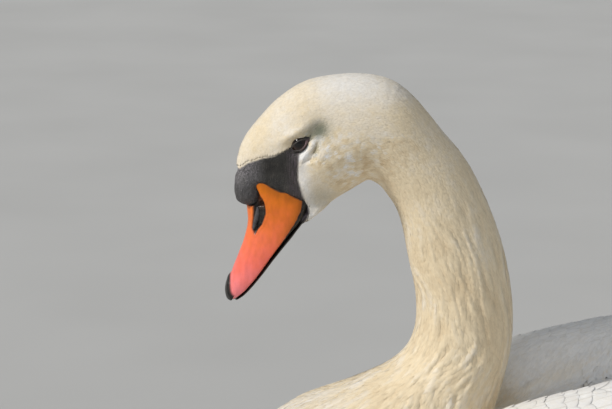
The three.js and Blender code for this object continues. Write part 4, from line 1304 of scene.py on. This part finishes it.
def tail_feathers():
    rng = np.random.default_rng(90)
    which = (np.arange(TAIL_COUNT) - (TAIL_COUNT - 1) / 2)[:, None]
    share = np.abs(which) / which.max()
    y = TAIL_ROOT_Y + (TAIL_END_Y - 66 * share**2 - TAIL_ROOT_Y) * LONG_STATIONS
    x = np.sign(which) * 47 * share**0.9 * (0.35 + 0.65 * LONG_STATIONS)
    z = np.interp(y, *TAIL_TOP_MM) - 2.0 - 3.0 * share - 1.2 * (x / 50) ** 2
    place = np.stack([x, y, z], -1) * MM
    out = unit(np.stack([which * 0.012 + 0 * y, 0 * y, 0 * y + 1], -1))
    way = flat_to(out, np.gradient(place, axis=1))
    return feathers("tail_feathers", [place, out, way, np.full(y.shape, MM)],
                    rng.uniform(26, 29, TAIL_COUNT) * MM, 0.0006, np.ones(y.shape), TAIL_PROFILE, VANE_RING,
                    LONG_STATIONS, bend=0.06, seed=90, stain_and_painted_light=np.full(TAIL_COUNT, 0.04), soft=0.2)


tail = tail_feathers()
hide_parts("tail")


# %% Coverts over and under the tail's root
COVERT_LONG, COVERT_WIDE = 0.056, 0.024


def covert_roots():
    """Roots above the tail, where it leaves the wings, and below it."""
    rng = np.random.default_rng(91)
    roots = []
    for y in np.arange(196, 318, 11):
        half = np.interp(y, [212, 245, 285, 325], [46, 56, 60, 52])
        for x in np.arange(-half, half + 1, 13):
            at = (x + rng.normal(0, 1)) * MM, (y + rng.normal(0, 2)) * MM
            if abs(x) < (half - 14 if y <= 268 else 24):
                roots.append(cover_tree.ray_cast((*at, 0.07), (0, 0, 1))[0] or (*at, 0.13))
            if y > 258 and abs(x) < 34 - 0.25 * (y - 258):
                roots.append((*at, 0.1425))
    return np.array(roots)


roots = covert_roots()
coverts = body_vanes("tail_coverts", roots, COVERT_LONG, COVERT_WIDE, 92)

# %% [markdown]
# ## Materials
# A bird has few materials: feather, bare skin, horn, and the wet eye. Each is a small graph of noise,
# ramps and bumps. Feather colour comes from two numbers stored on every piece: how cream it is stained,
# with painted light and shade added on the neck's ridges, and how much painted shade it has, so that the
# skin and the feathers over it always agree.
# %% Helpers for node graphs
def node(tree, kind, inputs=None, **settings):
    made = tree.nodes.new("ShaderNode" + kind)
    for key, value in settings.items():
        setattr(made, key, value)
    for key, value in (inputs or {}).items():
        socket = made.inputs[key]
        if isinstance(value, bpy.types.NodeSocket):
            tree.links.new(value, socket)
        else:
            socket.default_value = (*value, 1) if socket.type == "RGBA" else value
    return made


def place_of(tree):
    return node(tree, "TexCoord").outputs["Object"]


def number(tree, name):
    return node(tree, "Attribute", attribute_name=name).outputs["Fac"]


def noise(tree, scale, detail=2.0, stretch=None):
    place = place_of(tree)
    if stretch:
        place = node(tree, "Mapping", {"Vector": place, "Scale": stretch}).outputs["Vector"]
    return node(tree, "TexNoise", {"Vector": place, "Scale": scale, "Detail": detail}).outputs["Fac"]


def cells(tree, scale):
    return node(tree, "TexVoronoi", {"Vector": place_of(tree), "Scale": scale}).outputs["Distance"]


def maths(tree, operation, a, b=0.0, clamp=False):
    return node(tree, "Math", {0: a, 1: b}, operation=operation, use_clamp=clamp).outputs[0]


def times(tree, a, b):
    return maths(tree, "MULTIPLY", a, b)


def wander(tree, value, scale, clamp=False):
    """A number made uneven by an eighth up and down."""
    uneven = maths(tree, "SUBTRACT", noise(tree, scale, 3), 0.5)
    return maths(tree, "ADD", value, times(tree, uneven, 0.25), clamp)


def scaled(tree, value, low, high, start=0.0, end=1.0):
    """From low to high as a value goes from start to end."""
    ends = {"From Min": start, "From Max": end, "To Min": low, "To Max": high}
    return node(tree, "MapRange", {"Value": value, **ends}).outputs[0]


def axis(tree, name, start, end):
    """From 0 to 1 as the named coordinate goes from start to end."""
    place = node(tree, "SeparateXYZ", {"Vector": place_of(tree)})
    return scaled(tree, place.outputs[name], 0, 1, start, end)


def ramp(tree, value, *stops):
    """Colours, or greys where a stop has one number, blended along a value."""
    made = node(tree, "ValToRGB", {"Fac": value})
    elements = made.color_ramp.elements
    while len(elements) < len(stops):
        elements.new(0.5)
    for element, (place, *colour) in zip(elements, stops):
        element.position = place
        element.color = (*colour, 1) if len(colour) == 3 else (colour[0],) * 3 + (1,)
    return made.outputs["Color"]


def blend(tree, share, a, b, mode="MIX"):
    return node(tree, "Mix", {"Factor": share, 6: a, 7: b}, data_type="RGBA", blend_type=mode).outputs[2]


def dimmed(tree, colour, a, b):
    """A colour times two numbers."""
    grey = node(tree, "CombineColor", {key: times(tree, a, b) for key in ("Red", "Green", "Blue")})
    return blend(tree, 1.0, colour, grey.outputs[0], "MULTIPLY")


def bump(tree, height, strength, distance, under=None):
    inputs = {"Height": height, "Strength": strength, "Distance": distance}
    return node(tree, "Bump", inputs | ({"Normal": under} if under else {})).outputs["Normal"]


# %% Making a material, and two simple finishes
def look(name, pieces, colour, relief=None, **shader):
    """A material whose colour and relief are drawn by functions, put on its pieces."""
    made = bpy.data.materials.new(name)
    made.use_nodes = True
    tree, surface = made.node_tree, made.node_tree.nodes["Principled BSDF"]
    for key, value in shader.items():
        surface.inputs[key.replace("_", " ")].default_value = value
    tree.links.new(colour(tree), surface.inputs["Base Color"])
    if relief:
        tree.links.new(relief(tree), surface.inputs["Normal"])
    for piece in pieces:
        piece.data.materials.clear()
        piece.data.materials.append(made)
    return tree, surface


def tones(scale, detail, *stops):
    return lambda tree: ramp(tree, noise(tree, scale, detail), *stops)


def grainy(scale, detail, strength, distance):
    return lambda tree: bump(tree, noise(tree, scale, detail), strength, distance)


# %% Skin: plumage base where feathered, black and wrinkled where bare
WHITE, CREAM, TAN = (0.86, 0.85, 0.83), (0.80, 0.675, 0.47), (0.62, 0.47, 0.28)
# Painted shade: the grey-green that the shaded hollows and creases of the face are darkened towards.
PAINTED_SHADE = (0.17, 0.18, 0.13)


def feather_colour(tree):
    stain_and_painted_light = wander(tree, number(tree, "stain_and_painted_light"), 260, True)
    colour = ramp(tree, stain_and_painted_light, (0.0, *WHITE), (0.5, *CREAM), (1.0, *TAN))
    # Where shade is painted, the colour is darkened towards that grey-green.
    return blend(tree, number(tree, "painted_shade"), colour, PAINTED_SHADE)


def bare_colour(tree):
    black = ramp(tree, noise(tree, 160, 4), (0.3, 0.016, 0.015, 0.014), (0.55, 0.030, 0.028, 0.025),
                 (0.8, 0.06, 0.055, 0.046))
    folds = ramp(tree, noise(tree, 1.0, 3, (200, 1500, 150)), (0.42, 0), (0.62, 1))
    black = blend(tree, times(tree, folds, axis(tree, "Y", -0.337, -0.328)), black, (0.085, 0.065, 0.078))
    knob = axis(tree, "Y", -0.350, -0.358)
    pearl = ramp(tree, noise(tree, 420, 4), (0.45, 0), (0.72, 1))
    black = blend(tree, times(tree, knob, 0.55), black, (0.10, 0.097, 0.10))
    black = blend(tree, times(tree, times(tree, pearl, knob), 0.4), black, (0.17, 0.16, 0.17))
    shine = ramp(tree, noise(tree, 900, 4), (0.42, 0), (0.75, 1))
    top = times(tree, axis(tree, "Z", 0.386, 0.400), axis(tree, "Y", -0.354, -0.366))
    return blend(tree, times(tree, shine, top), black, (0.31, 0.285, 0.31))


def skin_colour(tree):
    return blend(tree, number(tree, "bare"), feather_colour(tree), bare_colour(tree))


def skin_relief(tree):
    wrinkles = maths(tree, "ADD", noise(tree, 1.0, 3, (300, 1300, 220)), times(tree, cells(tree, 900), 0.4))
    normal = bump(tree, times(tree, wrinkles, number(tree, "bare")), 1.0, 0.0008)
    return bump(tree, noise(tree, 900, 2), 0.4, 0.0004, normal)


tree, surface = look("skin_plumage", [skin], skin_colour, skin_relief)
tree.links.new(scaled(tree, number(tree, "bare"), 0.85, 0.5), surface.inputs["Roughness"])
print("skin coloured")


# %% Feathers: soft tufts, and vanes with their barbs and shaft
def tuft_colour(tree):
    shade = scaled(tree, number(tree, "shade"), 0.93, 1.04)
    # Painted shade: each tuft is a little darker at its root, where the tufts over it shade it.
    return dimmed(tree, feather_colour(tree), shade, scaled(tree, number(tree, "along"), 0.92, 1.02))


def barbs_and_shaft(tree):
    place = node(tree, "SeparateXYZ", {"Vector": node(tree, "UVMap", uv_map="barbs").outputs["UV"]}).outputs
    off_shaft = maths(tree, "ABSOLUTE", place["X"])
    slant = maths(tree, "SUBTRACT", place["Y"], times(tree, off_shaft, 1.2))
    lines = {"X": times(tree, slant, 1300.0), "Y": times(tree, off_shaft, 90.0),
             "Z": times(tree, number(tree, "shade"), 40.0)}
    lines = node(tree, "CombineXYZ", lines).outputs[0]
    barbs = node(tree, "TexNoise", {"Vector": lines, "Scale": 1.0, "Detail": 2.0}).outputs["Fac"]
    return barbs, scaled(tree, off_shaft, 0, 1, 0.0009, 0.0002)


def vane_colour(tree):
    barbs, shaft = barbs_and_shaft(tree)
    shade = scaled(tree, number(tree, "shade"), 0.95, 1.03)
    colour = dimmed(tree, feather_colour(tree), shade, scaled(tree, barbs, 0.9, 1.08))
    return blend(tree, times(tree, shaft, 0.35), colour, (0.62, 0.58, 0.50))


def vane_relief(tree):
    return bump(tree, maths(tree, "ADD", *barbs_and_shaft(tree)), 0.7, 0.0003)


look("feather", coat, tuft_colour, Roughness=0.75, Sheen_Weight=0.12, Sheen_Roughness=0.5)
look("vane", wing_pieces + flights + [tail, coverts] + body_coat, vane_colour, vane_relief, Roughness=0.62,
     Sheen_Weight=0.1, Sheen_Roughness=0.5)
print("feathers coloured")


# %% Orange horn, blackened at nostril, edge and nail
def horn_colour(tree):
    down = wander(tree, axis(tree, "Z", 0.390, 0.296), 130)
    horn = ramp(tree, down, (0.05, 0.74, 0.185, 0.004), (0.35, 0.93, 0.20, 0.045), (0.65, 0.97, 0.19, 0.13),
                (0.95, 0.97, 0.26, 0.28))
    # Painted shade: darker orange near the rear and lower edges of the horn, towards the gape.
    horn = blend(tree, times(tree, number(tree, "painted_edge_shade"), 0.85), horn, (0.50, 0.13, 0.006))
    mottle = ramp(tree, noise(tree, 1.0, 4, (260, 260, 110)), (0.3, 0.88), (0.7, 1.05))
    horn = blend(tree, 1.0, horn, mottle, "MULTIPLY")
    soot = ramp(tree, noise(tree, 500, 4), (0.35, 0.010, 0.009, 0.008), (0.75, 0.045, 0.04, 0.035))
    return blend(tree, number(tree, "black"), horn, soot)


def horn_relief(tree):
    streaks = bump(tree, noise(tree, 1.0, 3, (500, 260, 160)), 0.35, 0.0004)
    return bump(tree, noise(tree, 1500, 2), 0.35, 0.00015, streaks)


look("orange_horn", [bill_upper], horn_colour, horn_relief, Roughness=0.3, Specular_IOR_Level=0.35)
look("dark_horn", [bill_lower], tones(400, 4, (0.35, 0.012, 0.010, 0.009), (0.75, 0.05, 0.043, 0.036)),
     grainy(900, 3, 0.4, 0.0003), Roughness=0.45)
look("wet_flap", flaps, tones(300, 3, (0.3, 0.05, 0.047, 0.05), (0.75, 0.12, 0.112, 0.12)),
     grainy(700, 2, 0.15, 0.0003), Roughness=0.16)
print("bill coloured")


# %% Eye, lid and leg
def eye_colour(tree):
    iris = ramp(tree, maths(tree, "DIVIDE", number(tree, "off_axis"), 60.0), (0.0, 0.002, 0.002, 0.002),
                (0.30, 0.003, 0.002, 0.002), (0.36, 0.012, 0.006, 0.004), (0.75, 0.026, 0.012, 0.006),
                (0.86, 0.006, 0.004, 0.003))
    fleck = ramp(tree, noise(tree, 1500, 3), (0.3, 0.7), (0.7, 1.3))
    return blend(tree, 1.0, iris, fleck, "MULTIPLY")


def lid_colour(tree):
    tone = ramp(tree, noise(tree, 500, 3), (0.3, 0.02, 0.018, 0.017), (0.75, 0.06, 0.05, 0.045))
    rim = times(tree, number(tree, "rim"), axis(tree, "Y", -0.3255, -0.3195))
    return blend(tree, rim, tone, (0.2, 0.12, 0.13))


def leg_relief(tree):
    return bump(tree, cells(tree, 420), 0.7, 0.0005)


look("wet_eye", eyes, eye_colour, Roughness=0.05)
look("lid_skin", lids, lid_colour, grainy(1400, 3, 0.6, 0.0004), Roughness=0.45)
look("leg_skin", feet, tones(220, 4, (0.3, 0.02, 0.02, 0.021), (0.75, 0.065, 0.062, 0.06)), leg_relief,
     Roughness=0.5)
print("materials made")

# %% [markdown]
# ## Floor, light and camera
# A plain pale floor, one soft key light high in front of the bird, a weak and very soft fill from the
# camera's side, and a camera looking straight at the bird's left side from a little above.
# %% Floor
pick()
bpy.ops.mesh.primitive_plane_add(size=400, location=(0, 0, 0))
floor = bpy.context.object
floor.name = "floor"
look("pale_floor", [floor], tones(3, 2, (0.3, 0.50, 0.50, 0.49), (0.7, 0.53, 0.53, 0.52)), Roughness=0.9)
print("floor laid")

# %% Lights
LAMP_AIM = Vector((0, -0.25, 0.3))
SKY, SKY_STRENGTH = (0.86, 0.92, 1.0, 1), 0.32


def facing(start, aim):
    return (aim - Vector(start)).to_track_quat("-Z", "Y").to_euler()


def lamp(name, place, colour, strength, softness):
    """A far light, so that the floor is lit evenly: softness is how wide it looks, in degrees."""
    bpy.ops.object.light_add(type="SUN", location=place)
    made = bpy.context.object
    made.name = name
    made.data.energy = strength
    made.data.angle = math.radians(softness)
    made.data.color = colour
    made.rotation_euler = facing(place, LAMP_AIM)
    return made


lamp("key", (0.75, -2.3, 1.95), (1.0, 0.96, 0.9), 2.5, 10)
fill = lamp("fill", (3.0, -0.6, 1.4), (0.98, 0.98, 1.0), 0.5, 50)
fill.visible_glossy = False  # no pale disc in the wet eye
world = bpy.context.scene.world or bpy.data.worlds.new("studio")
bpy.context.scene.world = world
world.use_nodes = True
sky = world.node_tree.nodes["Background"].inputs
sky["Color"].default_value = SKY
sky["Strength"].default_value = SKY_STRENGTH
bpy.context.scene.view_settings.view_transform = "Standard"
print("two lamps and a pale sky")

# %% Camera
CAMERA_AIM = Vector((0, -0.320, 0.371))
CAMERA_BACK, CAMERA_UP = 1.5, math.radians(13)
bpy.ops.object.camera_add()
camera = bpy.context.object
camera.location = CAMERA_AIM + CAMERA_BACK * Vector((math.cos(CAMERA_UP), 0, math.sin(CAMERA_UP)))
camera.rotation_euler = facing(camera.location, CAMERA_AIM)
camera.data.lens = 114.5
camera.data.sensor_width = 36
bpy.context.scene.camera = camera
print(f"camera {CAMERA_BACK} m away")
